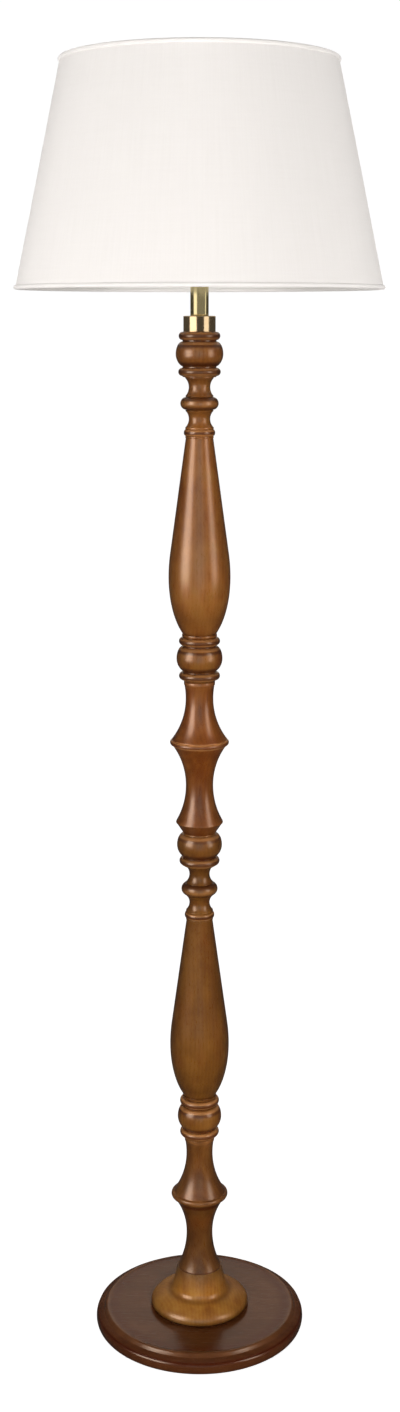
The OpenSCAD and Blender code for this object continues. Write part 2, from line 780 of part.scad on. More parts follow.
// A moulded core: wiring space and switch tunnel below a floor, and a sleeve around the thread
module holder_insulator() {
    sleeve_r = shell_r + shell_wall + 0.1;
    z_sleeve_top = z_mouth - 1.2;
    color("ivory") difference() {
        lathe([
            [wiring_r, z_core], [core_r, z_core], [core_r, z_sleeve_top], [sleeve_r, z_sleeve_top],
            [sleeve_r, z_core_top], [0, z_core_top], [0, z_switch + 7], [wiring_r, z_switch + 7],
        ]);
        translate([0, 0, z_switch]) rotate([0, 90, 0])
            cylinder(r = switch_r + gap, h = through, center = true, $fn = 48);
        contact_places() cylinder(d = contact_d + 0.1, h = core_h, $fn = 32);
    }
}

thread_pitch = 3.6;

module thread_shell() {
    r_out = shell_r + shell_wall;
    z_turns = z_core_top + 3;
    color("gold") lathe(concat(
        [[shell_r, z_core_top], [r_out, z_core_top], [r_out, z_core_top + shell_h]],
        [[shell_r, z_core_top + shell_h]],
        [for (i = [4:-1:0]) each [
            [shell_r, z_turns + thread_pitch * (i + 0.7)],
            [shell_r + 0.25, z_turns + thread_pitch * (i + 0.35)],
            [shell_r, z_turns + thread_pitch * i]]]
    ));
}

module centre_contact() {
    color("orange") lathe([
        [0, z_core_top], [4.5, z_core_top], [4.5, z_core_top + 0.8], [2.5, z_core_top + contact_h],
        [0, z_core_top + contact_h],
    ]);
}

// Two pins that the bridge joins when the bar is pushed home
module fixed_contacts() {
    color("orange") contact_places() cylinder(d = contact_d, h = z_core_top - z_switch + 3, $fn = 32);
}

// Screws under the core, where the cord's wires are clamped
module terminal_screws() {
    color("silver") ring_of(2, (wiring_r + core_r) / 2, 90)
        translate([0, 0, z_core - 3]) cylinder(d = 4, h = 3, $fn = 32);
}

module switch_bar() {
    r_end = holder_r + switch_out;
    l_end = holder_r + 1.5;
    color("gold") translate([-l_end, 0, z_switch]) rotate([0, 90, 0]) rotate_extrude($fn = 48) polygon(concat(
        [[0, 0], [switch_r - 0.6, 0], [switch_r, 0.6], [switch_r, l_end + r_end - 0.6]],
        [[switch_r - 0.6, l_end + r_end], [0, l_end + r_end]]
    ));
}

module switch_bridge() {
    color("orange") translate([0, 0, z_switch]) rotate([0, 90, 0]) difference() {
        cylinder(d = bridge_d, h = bridge_t, $fn = 48, center = true);
        cylinder(r = switch_r + snug, h = 3 * bridge_t, $fn = 48, center = true);
    }
}

module retaining_ring() {
    r = retainer_d / 2;
    grips = 24;
    color("gold") difference() {
        lathe([
            [retainer_bore_r, z_retainer], [r, z_retainer], [r, z_retainer + 3],
            [r - 2.5, z_retainer + retainer_h], [retainer_bore_r, z_retainer + retainer_h],
        ]);
        ring_of(grips, r + 0.6, 0) translate([0, 0, z_retainer - 1])
            cylinder(r = 1.2, h = 5, $fn = 16);
    }
}

// ---- Bulb ----

z_bulb_shell = z_bulb + cap_insulator_h;
z_glass = z_bulb + bulb_cap_h - 3;

module bulb_tip() {
    color("dimgray") lathe([
        [0, z_bulb], [4, z_bulb], [4.5, z_bulb + 0.5], [9, z_bulb_shell], [0, z_bulb_shell],
    ]);
}

module bulb_cap() {
    r = bulb_cap_r;
    z_turns = z_bulb_shell + 1.5;
    color("silver") lathe(concat(
        [[0, z_bulb_shell], [9, z_bulb_shell], [r - 1.2, z_turns]],
        [for (i = [0:3]) each [
            [r, z_turns + thread_pitch * (i + 0.35)], [r - 1.2, z_turns + thread_pitch * (i + 0.9)]]],
        [[r, z_glass - 2], [r, z_glass], [0, z_glass]]
    ));
}

// A thin pear of glass, open where it meets the cap
function pear_line(r_ball, r_low, z_round) = concat(
    [[r_low, z_glass], [r_low, z_glass + 5]],
    [for (i = [1:long]) let (t = i / long)
        [r_low + (r_ball - r_low) * (1 - cos(180 * t)) / 2, z_glass + 5 + (z_round - z_glass - 5) * t]],
    [for (i = [1:long]) let (a = 90 * i / long) [r_ball * cos(a), z_round + r_ball * sin(a)]]
);

module bulb_glass() {
    z_round = z_bulb + bulb_h - bulb_r;
    r_neck = bulb_cap_r - 0.4;
    color("white") lathe(concat(
        pear_line(bulb_r, r_neck, z_round),
        turned_over(pear_line(bulb_r - glass_wall, r_neck - glass_wall, z_round))
    ));
}

// ---- Shade ----

module fitter_ring() {
    color("whitesmoke") lathe([
        [fitter_bore_r, z_fitter], [fitter_d / 2, z_fitter],
        [fitter_d / 2, z_fitter + fitter_t], [fitter_bore_r, z_fitter + fitter_t],
    ]);
}

// Straight arms from the fitter ring down to the bottom wire
module arm_set(r) {
    from = [fitter_d / 2 - 1, 0, z_fitter + fitter_t / 2];
    along = [low_wire[0], 0, low_wire[1]] - from;
    ring_of(arm_count, 0, 90) translate(from) rotate([0, atan2(along[0], along[2]), 0])
        cylinder(r = r, h = norm(along), $fn = 32);
}

module carrier_arms() {
    color("whitesmoke") arm_set(arm_d / 2);
}

module wire_ring(at) {
    rotate_extrude($fn = 128) translate(at) circle(r = wire_r, $fn = 32);
}

module bottom_wire() {
    color("whitesmoke") wire_ring(low_wire);
}

module top_wire() {
    color("whitesmoke") wire_ring(high_wire);
}

// The skin's cross section between two distances from the wires' common line
module skin_section(inside, outside, cut_back) {
    translate(low_wire) rotate(slant)
        translate([inside, cut_back]) square([outside - inside, skin_l - 2 * cut_back]);
}

module shade_liner() {
    color("white") rotate_extrude($fn = 128) skin_section(-liner_t, 0, skin_cut);
}

module shade_linen() {
    color("linen") rotate_extrude($fn = 128) skin_section(0, linen_t, skin_cut);
}

module rolled_hem(at) {
    rotate_extrude($fn = 128) difference() {
        translate(at) circle(r = hem_r, $fn = 32);
        translate(at) circle(r = wire_r + loose, $fn = 32);
        skin_section(-liner_t - 0.05, linen_t + 0.05, 0);
    }
}

module bottom_hem() {
    color("linen") difference() {
        rolled_hem(low_wire);
        arm_set(arm_d / 2 + 0.2);
    }
}

module top_hem() {
    color("linen") rolled_hem(high_wire);
}

base_disc();
ballast_disc();
ballast_screws();
base_cover();
cover_screws();
foot_pads();
cord_bush();
base_washer();
base_nut();
bell_foot();
foot_stem();
lower_baluster();
middle_spool();
upper_baluster();
lower_tube();
tube_coupler();
upper_tube();
brass_collar();
collar_washer();
collar_nut();
brass_riser();
holder_cap();
holder_set_screw();
holder_body();
holder_insulator();
thread_shell();
centre_contact();
fixed_contacts();
terminal_screws();
switch_bar();
switch_bridge();
retaining_ring();
bulb_cap();
bulb_tip();
bulb_glass();
fitter_ring();
carrier_arms();
bottom_wire();
top_wire();
shade_liner();
shade_linen();
bottom_hem();
top_hem();
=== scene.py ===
import json
import math

import bpy
import bmesh
import numpy as np
from mathutils import Matrix, Vector


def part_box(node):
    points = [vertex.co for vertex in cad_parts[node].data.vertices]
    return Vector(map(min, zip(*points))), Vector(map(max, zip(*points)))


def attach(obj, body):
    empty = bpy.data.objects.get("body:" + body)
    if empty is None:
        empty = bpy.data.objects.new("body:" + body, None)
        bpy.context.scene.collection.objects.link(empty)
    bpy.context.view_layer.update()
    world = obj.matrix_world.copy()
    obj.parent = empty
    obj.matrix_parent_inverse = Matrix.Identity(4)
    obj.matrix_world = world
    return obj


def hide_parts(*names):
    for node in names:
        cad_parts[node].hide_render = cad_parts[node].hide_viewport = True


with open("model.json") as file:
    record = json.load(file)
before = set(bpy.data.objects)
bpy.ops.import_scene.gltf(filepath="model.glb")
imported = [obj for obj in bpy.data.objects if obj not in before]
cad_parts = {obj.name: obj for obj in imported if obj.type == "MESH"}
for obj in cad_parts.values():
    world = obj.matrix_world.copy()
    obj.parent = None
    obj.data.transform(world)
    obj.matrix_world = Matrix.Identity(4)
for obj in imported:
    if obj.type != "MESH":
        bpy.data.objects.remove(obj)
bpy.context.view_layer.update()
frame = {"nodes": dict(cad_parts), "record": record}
nodes = frame["nodes"]
mm = 0.001
print("frame loaded")

# The camera is level with the shade and looks down a little, as the photograph does
viewPoint = {
    "place": (0.0, -2.23, 1.35),
    "tiltDown": 12.3,
    "lens": 45.56,
    "sensor": 36.0,
    "shiftX": 0.00035,
    "clipEnd": 60,
}

cameraData = bpy.data.cameras.new("photoCamera")
cameraData.sensor_width = viewPoint["sensor"]
cameraData.lens = viewPoint["lens"]
cameraData.shift_x = viewPoint["shiftX"]
cameraData.dof.use_dof = False
cameraData.clip_end = viewPoint["clipEnd"]
camera = bpy.data.objects.new("photoCamera", cameraData)
camera.location = viewPoint["place"]
camera.rotation_euler = (math.radians(90 - viewPoint["tiltDown"]), 0, 0)
bpy.context.scene.collection.objects.link(camera)
bpy.context.scene.camera = camera
print("camera ready")


def bottomOf(node):
    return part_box(node)[0].z / mm


def topOf(node):
    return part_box(node)[1].z / mm


def meshObject(bm, name):
    mesh = bpy.data.meshes.new(name)
    bm.to_mesh(mesh)
    bm.free()
    obj = bpy.data.objects.new(name, mesh)
    bpy.context.scene.collection.objects.link(obj)
    return obj


# Faces are shaded smooth, and only edges past the crease angle stay crisp
def smoothShaded(obj, creaseAngle):
    for face in obj.data.polygons:
        face.use_smooth = True
    obj.data.set_sharp_from_angle(angle=math.radians(creaseAngle))
    return obj


def finishMesh(bm, name, creaseAngle):
    bmesh.ops.recalc_face_normals(bm, faces=bm.faces)
    return smoothShaded(meshObject(bm, name), creaseAngle)


def dress(obj, material):
    obj.data.materials.clear()
    obj.data.materials.append(material)
    return obj


def cornerAngle(vert):
    a, b = [edge.other_vert(vert).co - vert.co for edge in vert.link_edges]
    return math.degrees(math.pi - a.angle(b))


# Corners turned by more than cornerAngle degrees are rounded, and close points are welded, in metres
lathe = {"cornerAngle": 28, "creaseAngle": 34, "outlineWeld": 2e-5, "seamWeld": 1e-6}


# A closed outline of (radius, height) in millimetres is turned once round the column's axis
def turnOnLathe(name, outline, steps=144, rounding=0.4):
    bm = bmesh.new()
    verts = [bm.verts.new((r * mm, 0, z * mm)) for r, z in outline]
    for a, b in zip(verts, verts[1:] + verts[:1]):
        bm.edges.new((a, b))
    bmesh.ops.remove_doubles(bm, verts=bm.verts, dist=lathe["outlineWeld"])
    if rounding:
        corners = [v for v in bm.verts if cornerAngle(v) > lathe["cornerAngle"]]
        bmesh.ops.bevel(bm, geom=corners, offset=rounding * mm, offset_type="OFFSET", segments=3,
                        profile=0.5, affect="VERTICES", clamp_overlap=True, material=-1)
    bmesh.ops.spin(bm, geom=bm.verts[:] + bm.edges[:], cent=(0, 0, 0), axis=(0, 0, 1),
                   dvec=(0, 0, 0), angle=2 * math.pi, steps=steps, use_merge=True, use_duplicate=False)
    bmesh.ops.remove_doubles(bm, verts=bm.verts, dist=lathe["seamWeld"])
    bmesh.ops.dissolve_degenerate(bm, edges=bm.edges, dist=lathe["seamWeld"])
    return finishMesh(bm, name, lathe["creaseAngle"])


# Marks of glaze, wear, painted highlight and painted shade along the column, as (kind, foot, height),
# noted down while the outlines are drawn
marks = []

# Where each kind of mark is pale, with wear and a painted highlight on its edges, and where it is dark,
# with glaze and painted shade, as (share of its height, strength)
markShapes = {
    "ring": {"paleHighlightAndWear": [(0.0, 0), (0.08, 0.9), (0.22, 0.9), (0.30, 0), (0.72, 0), (0.80, 1), (0.94, 1),
                      (1.0, 0)],
             "dark": [(0.26, 0), (0.34, 1), (0.64, 1), (0.75, 0)]},
    "knop": {"paleHighlightAndWear": [(0.87, 0), (0.90, 1), (0.96, 1), (1.0, 0)],
             "dark": [(0.02, 1), (0.12, 0.9), (0.22, 0), (0.72, 0), (0.79, 0.9), (0.85, 0.9), (0.88, 0)]},
    "line": {"paleHighlightAndWear": [], "dark": [(0.0, 0), (0.3, 1), (0.7, 1), (1.0, 0)]},
    "bead": {"paleHighlightAndWear": [(0.25, 0), (0.38, 0.5), (0.52, 0.5), (0.62, 0)],
             "dark": [(0.0, 0.8), (0.18, 0.8), (0.3, 0), (0.66, 0), (0.76, 0.85), (1.0, 0.85)]},
}

# Heights are sampled every step; walls inside boreSide don't show; marks dim the plain groove
markSettings = {"step": 0.25, "boreSide": 8, "underMark": 0.4}


def storeByVertex(obj, name, values):
    attribute = obj.data.attributes.new(name, "FLOAT", "POINT")
    attribute.data.foreach_set("value", values.astype(np.float32))


def vertexHeights(obj):
    return np.array([v.co.z for v in obj.data.vertices]) / mm


# Grooves take dark glaze and painted shade, proud edges are rubbed paler, and the marks add painted
# highlights and shade: all go into attributes by height
def markGlazeShadeAndWear(obj, outline, reach, depth):
    step = markSettings["step"]
    low = min(z for r, z in outline)
    high = max(z for r, z in outline)
    heights = np.arange(low, high + step, step)
    radii = np.zeros(len(heights))
    for (r0, z0), (r1, z1) in zip(outline, outline[1:]):
        if abs(z1 - z0) > 1e-6 and max(r0, r1) > markSettings["boreSide"]:
            inside = (heights >= min(z0, z1)) & (heights <= max(z0, z1))
            share = (heights[inside] - z0) / (z1 - z0)
            radii[inside] = np.maximum(radii[inside], r0 + (r1 - r0) * share)
    half = int(reach / step)
    padded = np.pad(radii, half, mode="edge")
    around = np.convolve(padded, np.ones(2 * half + 1) / (2 * half + 1), mode="valid")
    groove = np.clip((around - radii) / depth, 0, 1)
    edge = np.clip((radii - around) / depth, 0, 1)
    paleHighlightAndWear = np.zeros(len(heights))
    for kind, foot, h in marks:
        share = (heights - foot) / h
        inside = (share >= 0) & (share <= 1)
        groove[inside] *= markSettings["underMark"]
        for target, shape in ((paleHighlightAndWear, markShapes[kind]["paleHighlightAndWear"]), (groove, markShapes[kind]["dark"])):
            if shape:
                np.maximum(target, np.interp(share, *zip(*shape), left=0, right=0), out=target)
    at = vertexHeights(obj)
    for name, values in (("groove", groove), ("edge", edge), ("paleHighlightAndWear", paleHighlightAndWear)):
        storeByVertex(obj, name, np.interp(at, heights, values))


# Outline elements, from the bottom up, with the same sizes as the CAD solids
def swell(z, h, r0, r1, n=28):
    return [(r0 + (r1 - r0) * math.sin(math.pi * i / n), z + h / 2 * (1 - math.cos(math.pi * i / n)))
            for i in range(n + 1)]


# A ring and a bead are half-rounds that note their marks of glaze, wear, painted highlight and painted
# shade
def ring(z, h, r0, r1):
    marks.append(("ring", z, h))
    return swell(z, h, r0, r1)


def bead(z, h, r0, r1):
    marks.append(("bead", z, h))
    return swell(z, h, r0, r1)


# An arc that leaves a neck upright and sweeps out to an edge, downwards where dz is below zero
def flare(zNeck, rNeck, dz, rEdge, n=30):
    dr = rEdge - rNeck
    arc = (dz * dz + dr * dr) / (2 * dr)
    sweep = 2 * math.atan2(dr, abs(dz))
    up = 1 if dz > 0 else -1
    return [(rNeck + arc * (1 - math.cos(sweep * i / n)), zNeck + up * arc * math.sin(sweep * i / n))
            for i in range(n + 1)]


def hollow(z, h, rLow, rNeck, rHigh, n=16):
    return flare(z + h / 2, rNeck, -h / 2, rLow, n)[::-1] + flare(z + h / 2, rNeck, h / 2, rHigh, n)[1:]


turning = {
    "ringRadius": 26.1, "ringHeight": 10.0, "grooveRadius": 20.8, "grooveHeight": 1.6,
    "knopRadius": 29.2, "lowKnopHeight": 31.5, "topKnopHeight": 30.0, "knopTaper": 1.4,
    "vaseRadius": 39.0, "bellyHeight": 72.0, "coneHeight": 174.0, "vaseTopRadius": 17.0,
    "shoulderRadius": 220.0, "smallRingRadius": 19.4, "smallRingHeight": 8.0,
    "neckRadius": 13.2, "lowNeckHeight": 20.5, "topNeckHeight": 22.0, "neckEdge": 17.6,
    "beadRadius": 23.6, "beadHeight": 15.5, "beadInset": 1.4, "filletHeight": 2.4, "filletOut": 1.4,
    "quirk": 1.0, "footInset": 1.0, "footStep": 0.8, "lipOut": 0.7, "lipFoot": 0.3, "lipTop": 0.8,
    "lipStep": 0.6, "shoulderFoot": 1.4, "shoulderTop": 1.2,
}


# A knop notes its marks: a painted highlight along its top edge, and painted shade below that edge and at
# its foot
def knop(z, h, n=48):
    marks.append(("knop", z, h))
    groove, proud = turning["grooveRadius"], turning["knopRadius"]
    points = []
    for i in range(n + 1):
        a = math.pi * i / n
        share = max(math.sin(a), 0) ** (turning["knopTaper"] if a < math.pi / 2 else 1)
        points.append((groove + (proud - groove) * share, z + h / 2 * (1 - math.cos(a))))
    return points


def vase(z):
    r, foot = turning["vaseRadius"], turning["grooveRadius"]
    belly, shoulder, top = turning["bellyHeight"], turning["shoulderRadius"], turning["vaseTopRadius"]
    footAngle = math.acos(foot / r)
    semi = belly / math.sin(footAngle)
    reach = (top - r + shoulder, turning["coneHeight"])
    coneAngle = math.atan2(reach[1], reach[0]) - math.acos(shoulder / math.hypot(*reach))
    wide = z + belly
    footSteps, shoulderSteps = 32, 12
    points = []
    for i in range(footSteps + 1):
        a = footAngle * (1 - i / footSteps)
        points.append((r * math.cos(a), wide - semi * math.sin(a)))
    for i in range(1, shoulderSteps + 1):
        a = coneAngle * i / shoulderSteps
        points.append((r - shoulder * (1 - math.cos(a)), wide + shoulder * math.sin(a)))
    points.append((top, wide + turning["coneHeight"]))
    return points


# From the foot up: ring, knop, ring, vase, small ring, neck, bead, neck, ring and knop
def balusterOutline(z):
    t = turning
    groove, proud, ringH, gap = t["grooveRadius"], t["ringRadius"], t["ringHeight"], t["grooveHeight"]
    fillet, quirk, edge = t["filletHeight"], t["quirk"], t["neckEdge"]
    z1 = z + fillet
    z2 = z1 + ringH + gap
    z3 = z2 + t["lowKnopHeight"] + gap
    z4 = z3 + ringH + gap
    z5 = z4 + fillet + t["bellyHeight"] + t["coneHeight"]
    z6 = z5 + fillet
    z7 = z6 + t["smallRingHeight"] + fillet
    z8 = z7 + t["lowNeckHeight"] + quirk
    z9 = z8 + t["beadHeight"] + quirk
    z10 = z9 + t["topNeckHeight"] + fillet
    z11 = z10 + ringH + gap
    top, lip, foot = t["vaseTopRadius"], t["vaseTopRadius"] + t["lipOut"], groove - t["footInset"]
    return (
        [(foot, z), (foot, z1 - t["footStep"])]
        + ring(z1, ringH, groove, proud)
        + knop(z2, t["lowKnopHeight"])
        + ring(z3, ringH, groove, proud)
        + [(groove + t["filletOut"], z4), (groove + t["filletOut"], z4 + fillet)]
        + vase(z4 + fillet)
        + [(lip, z5 + t["lipFoot"]), (lip, z6 - t["lipTop"]), (top, z6 - t["lipStep"])]
        + ring(z6, t["smallRingHeight"], top, t["smallRingRadius"])
        + [(edge, z6 + t["smallRingHeight"] + t["lipStep"])]
        + hollow(z7, t["lowNeckHeight"], edge, t["neckRadius"], edge)
        + bead(z8, t["beadHeight"], edge - t["beadInset"], t["beadRadius"])
        + hollow(z9, t["topNeckHeight"], edge, t["neckRadius"], edge)
        + [(edge, z10 - t["shoulderFoot"]), (groove, z10 - t["shoulderTop"])]
        + ring(z10, ringH, groove, proud)
        + knop(z11, t["topKnopHeight"])
        + [(groove, z11 + t["topKnopHeight"] + gap)]
    )


joinery = {"boreRadius": 5.25, "tenonRadius": 11.0, "tenonHeight": 10.0, "socketRadius": 11.1,
           "socketHeight": 10.5}


def socketAt(z):
    bore, wide, deep = joinery["boreRadius"], joinery["socketRadius"], z + joinery["socketHeight"]
    return [(bore, deep), (wide, deep), (wide, z)]


def tenonAt(z):
    bore, wide, high = joinery["boreRadius"], joinery["tenonRadius"], z + joinery["tenonHeight"]
    return [(wide, z), (wide, high), (bore, high)]


# The socket below and the tenon above close an outline on the tube's bore
def withJoints(outline, z0, z1):
    return socketAt(z0) + outline + tenonAt(z1)


def blank(name):
    material = bpy.data.materials.new(name)
    material.use_nodes = True
    tree = material.node_tree
    tree.nodes.clear()
    output = tree.nodes.new("ShaderNodeOutputMaterial")
    shader = tree.nodes.new("ShaderNodeBsdfPrincipled")
    tree.links.new(shader.outputs["BSDF"], output.inputs["Surface"])
    return material, tree, shader


def addNode(tree, kind, values=None, **settings):
    node = tree.nodes.new(kind)
    for key, value in settings.items():
        setattr(node, key, value)
    for key, value in (values or {}).items():
        node.inputs[key].default_value = value
    return node


def mapped(tree, source, scale=(1, 1, 1), turn=(0, 0, 0), place=(0, 0, 0)):
    node = addNode(tree, "ShaderNodeMapping", {"Scale": scale, "Rotation": turn, "Location": place})
    tree.links.new(source, node.inputs["Vector"])
    return node.outputs["Vector"]


def noise(tree, vector, scale, detail=4, roughness=0.55):
    node = addNode(tree, "ShaderNodeTexNoise", {"Scale": scale, "Detail": detail, "Roughness": roughness})
    tree.links.new(vector, node.inputs["Vector"])
    return node.outputs["Fac"]


def spread(tree, value, low, high, fromLow=0.3, fromHigh=0.7):
    node = addNode(tree, "ShaderNodeMapRange", {"From Min": fromLow, "From Max": fromHigh,
                                                "To Min": low, "To Max": high})
    tree.links.new(value, node.inputs["Value"])
    return node.outputs["Result"]


def sums(tree, operation, a, b):
    node = tree.nodes.new("ShaderNodeMath")
    node.operation = operation
    for value, socket in ((a, node.inputs[0]), (b, node.inputs[1])):
        if isinstance(value, (int, float)):
            socket.default_value = value
        else:
            tree.links.new(value, socket)
    return node.outputs["Value"]


def ramp(tree, value, stops):
    stops = list(stops)
    node = tree.nodes.new("ShaderNodeValToRGB")
    while len(node.color_ramp.elements) < len(stops):
        node.color_ramp.elements.new(0.5)
    for element, (place, colour) in zip(node.color_ramp.elements, stops):
        element.position = place
        element.color = (*colour, 1)
    tree.links.new(value, node.inputs["Fac"])
    return node.outputs["Color"]


def mixed(tree, share, a, b, kind="MIX"):
    node = tree.nodes.new("ShaderNodeMix")
    node.data_type = "RGBA"
    node.blend_type = kind
    for value, socket in ((share, node.inputs[0]), (a, node.inputs[6]), (b, node.inputs[7])):
        if isinstance(value, (int, float)):
            socket.default_value = value
        elif isinstance(value, tuple):
            socket.default_value = (*value, 1)
        else:
            tree.links.new(value, socket)
    return node.outputs[2]


def bumped(tree, shader, height, strength, distance):
    node = addNode(tree, "ShaderNodeBump", {"Strength": strength, "Distance": distance})
    tree.links.new(height, node.inputs["Height"])
    tree.links.new(node.outputs["Normal"], shader.inputs["Normal"])


# Each section has its own stain: gold above and at the bell, redder in the spool, darkest in the stem
woodFinish = {
    "upper": {"dark": (0.238, 0.075, 0.012), "middle": (0.316, 0.115, 0.021),
              "light": (0.364, 0.146, 0.032)},
    "spool": {"dark": (0.120, 0.033, 0.005), "middle": (0.166, 0.051, 0.008),
              "light": (0.210, 0.075, 0.015)},
    "lower": {"dark": (0.152, 0.055, 0.009), "middle": (0.202, 0.080, 0.013),
              "light": (0.248, 0.105, 0.020)},
    "stem": {"dark": (0.092, 0.032, 0.007), "middle": (0.128, 0.048, 0.010),
             "light": (0.168, 0.070, 0.017)},
    "bell": {"dark": (0.255, 0.098, 0.014), "middle": (0.360, 0.152, 0.024),
             "light": (0.430, 0.202, 0.040)},
    "base": {"dark": (0.068, 0.020, 0.006), "middle": (0.084, 0.026, 0.008),
             "light": (0.100, 0.033, 0.011)},
    # The colour for grooves is glaze and painted shade; the pale colour is wear and painted highlights
    "glazeAndShade": (0.065, 0.011, 0.002), "red": (0.190, 0.048, 0.009), "wornAndHighlight": (0.480, 0.222, 0.085),
    "olive": (0.300, 0.155, 0.030), "roughness": (0.26, 0.32), "baseRoughness": (0.19, 0.25),
    "specular": 0.40, "toneStops": (0.40, 0.51, 0.62), "ringShare": 0.05, "poreShade": 0.15,
    "bumpStrength": 0.12, "bumpDepth": 0.0001,
}

# Grain patterns drawn out along the wood: how far, how fine, and their share in the tone
grain = {
    "fibres": {"drawn": 0.03, "place": (0, 0, 0), "fineness": 1500, "detail": 5, "roughness": 0.6,
               "share": 0.08},
    "streaks": {"drawn": 0.07, "place": (0, 0, 0), "fineness": 240, "detail": 4, "roughness": 0.6,
                "share": 0.08},
    "drift": {"drawn": 0.4, "place": (0, 0, 0), "fineness": 30, "detail": 4, "roughness": 0.5,
              "share": 0.48},
    "cloud": {"drawn": 0.6, "place": (0.5, 0.2, 0.3), "fineness": 85, "detail": 3, "roughness": 0.5,
              "share": 0.33},
    "pores": {"drawn": 0.022, "place": (0.3, 0.1, 0), "fineness": 2600, "detail": 2, "roughness": 0.5},
}

# Each mark is painted on unevenly: least, most, and the paint; grooves take glaze and painted shade, pale
# marks take wear and painted highlights
markPaint = {"groove": (0.75, 1.0, "glazeAndShade"), "edge": (0.05, 0.35, "wornAndHighlight"), "paleHighlightAndWear": (0.5, 0.9, "wornAndHighlight")}

# The colour is scaled along a piece, partly the stain and partly painted shade and light, as (share of
# the piece's height, tone)
toneByHeight = {
    "upper": [(0, 0.66), (0.07, 0.62), (0.14, 0.70), (0.19, 0.56), (0.25, 0.80), (0.4, 0.66),
              (0.5, 0.84), (0.6, 1.10), (0.7, 0.86), (0.8, 0.60), (0.9, 0.58), (1, 0.50)],
    "spool": [(0, 0.92), (0.3, 0.98), (0.5, 1.18), (0.7, 1.2), (1, 1.0)],
    "lower": [(0, 1.04), (0.07, 1.02), (0.14, 0.92), (0.17, 0.76), (0.3, 0.86), (0.4, 0.86),
              (0.68, 1.08), (0.73, 0.82), (0.87, 0.68), (1, 0.8)],
    "stem": [(0, 0.94), (0.2, 0.85), (0.4, 1.0), (0.52, 0.85), (0.58, 1.2), (1, 1.2)],
    "bell": [(0.03, 0.25), (0.1, 0.38), (0.2, 0.72), (0.4, 1.0), (0.6, 1.1), (0.8, 0.66), (1, 0.42)],
}


# Fibres and growth rings follow the column's length, or the board's width in the base
def makeWood(name, section, place, alongX=False, ringSpacing=5.0):
    tones = woodFinish[section]
    material, tree, shader = blank(name)
    coords = tree.nodes.new("ShaderNodeTexCoord").outputs["Object"]
    turn = (0, math.radians(90), 0) if alongX else (math.radians(1.3), math.radians(-0.9), 0)
    lengthwise = mapped(tree, coords, turn=turn, place=place)
    rings = addNode(tree, "ShaderNodeTexWave", {"Scale": 0.314 / (ringSpacing * mm), "Distortion": 5.0,
                                                "Detail": 3.0, "Detail Scale": 0.35,
                                                "Detail Roughness": 0.55},
                    wave_type="RINGS", rings_direction="Z", wave_profile="SIN")
    tree.links.new(mapped(tree, lengthwise, scale=(1, 1, 0.07), place=(0.031, 0.047, 0)),
                   rings.inputs["Vector"])
    pattern = {}
    for kind, values in grain.items():
        drawn = mapped(tree, lengthwise, scale=(1, 1, values["drawn"]), place=values["place"])
        pattern[kind] = noise(tree, drawn, values["fineness"], values["detail"], values["roughness"])
    poreMask = spread(tree, pattern["pores"], 0, 1, 0.60, 0.72)
    tone = sums(tree, "MULTIPLY", rings.outputs["Fac"], woodFinish["ringShare"])
    for kind in ("fibres", "streaks", "drift", "cloud"):
        tone = sums(tree, "ADD", tone, sums(tree, "MULTIPLY", pattern[kind], grain[kind]["share"]))
    colour = ramp(tree, tone,
                  zip(woodFinish["toneStops"], (tones["dark"], tones["middle"], tones["light"])))
    blotch = noise(tree, mapped(tree, coords, scale=(1, 1, 0.6), place=place), 38, 3)
    if section != "base":
        colour = mixed(tree, spread(tree, blotch, 0.0, 0.38, 0.5, 0.72), colour, woodFinish["red"])
    if section in ("upper", "bell"):
        colour = mixed(tree, spread(tree, blotch, 0.35, 0.0, 0.3, 0.46), colour, woodFinish["olive"])
    colour = mixed(tree, sums(tree, "MULTIPLY", poreMask, woodFinish["poreShade"]), colour, tones["dark"])
    patch = noise(tree, mapped(tree, coords, place=place), 60, 3)
    # The marks are painted into the colour: glaze and painted shade in grooves and under turnings, wear
    # on proud edges, painted highlights on the turnings' edges
    for mark, (least, most, paint) in markPaint.items():
        held = addNode(tree, "ShaderNodeAttribute", attribute_name=mark).outputs["Fac"]
        share = sums(tree, "MULTIPLY", held, spread(tree, patch, least, most))
        colour = mixed(tree, share, colour, woodFinish[paint])
    # The colour is scaled by height, partly as stain and partly as painted shade and light
    if section in toneByHeight:
        deep = addNode(tree, "ShaderNodeAttribute", attribute_name="toneByHeight").outputs["Fac"]
        colour = mixed(tree, 1.0, colour, deep, "MULTIPLY")
    tree.links.new(colour, shader.inputs["Base Color"])
    gloss = woodFinish["baseRoughness" if section == "base" else "roughness"]
    fibres = pattern["fibres"]
    roughness = sums(tree, "ADD", spread(tree, fibres, *gloss), sums(tree, "MULTIPLY", poreMask, 0.1))
    tree.links.new(roughness, shader.inputs["Roughness"])
    shader.inputs["Specular IOR Level"].default_value = woodFinish["specular"]
    height = sums(tree, "SUBTRACT", sums(tree, "MULTIPLY", fibres, 0.6), poreMask)
    bumped(tree, shader, height, woodFinish["bumpStrength"], woodFinish["bumpDepth"])
    return material


# The wooden column: one turned piece for each section
def placeWood(name, node, section, outline, place, reach=9.0, depth=4.5):
    obj = turnOnLathe(name, outline)
    markGlazeShadeAndWear(obj, outline, reach, depth)
    low, high = bottomOf(node), topOf(node) - joinery["tenonHeight"]
    shares = (vertexHeights(obj) - low) / (high - low)
    storeByVertex(obj, "toneByHeight", np.interp(shares, *zip(*toneByHeight[section])))
    dress(obj, makeWood(name + "Wood", section, place))
    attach(obj, "lamp")
    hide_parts(node)


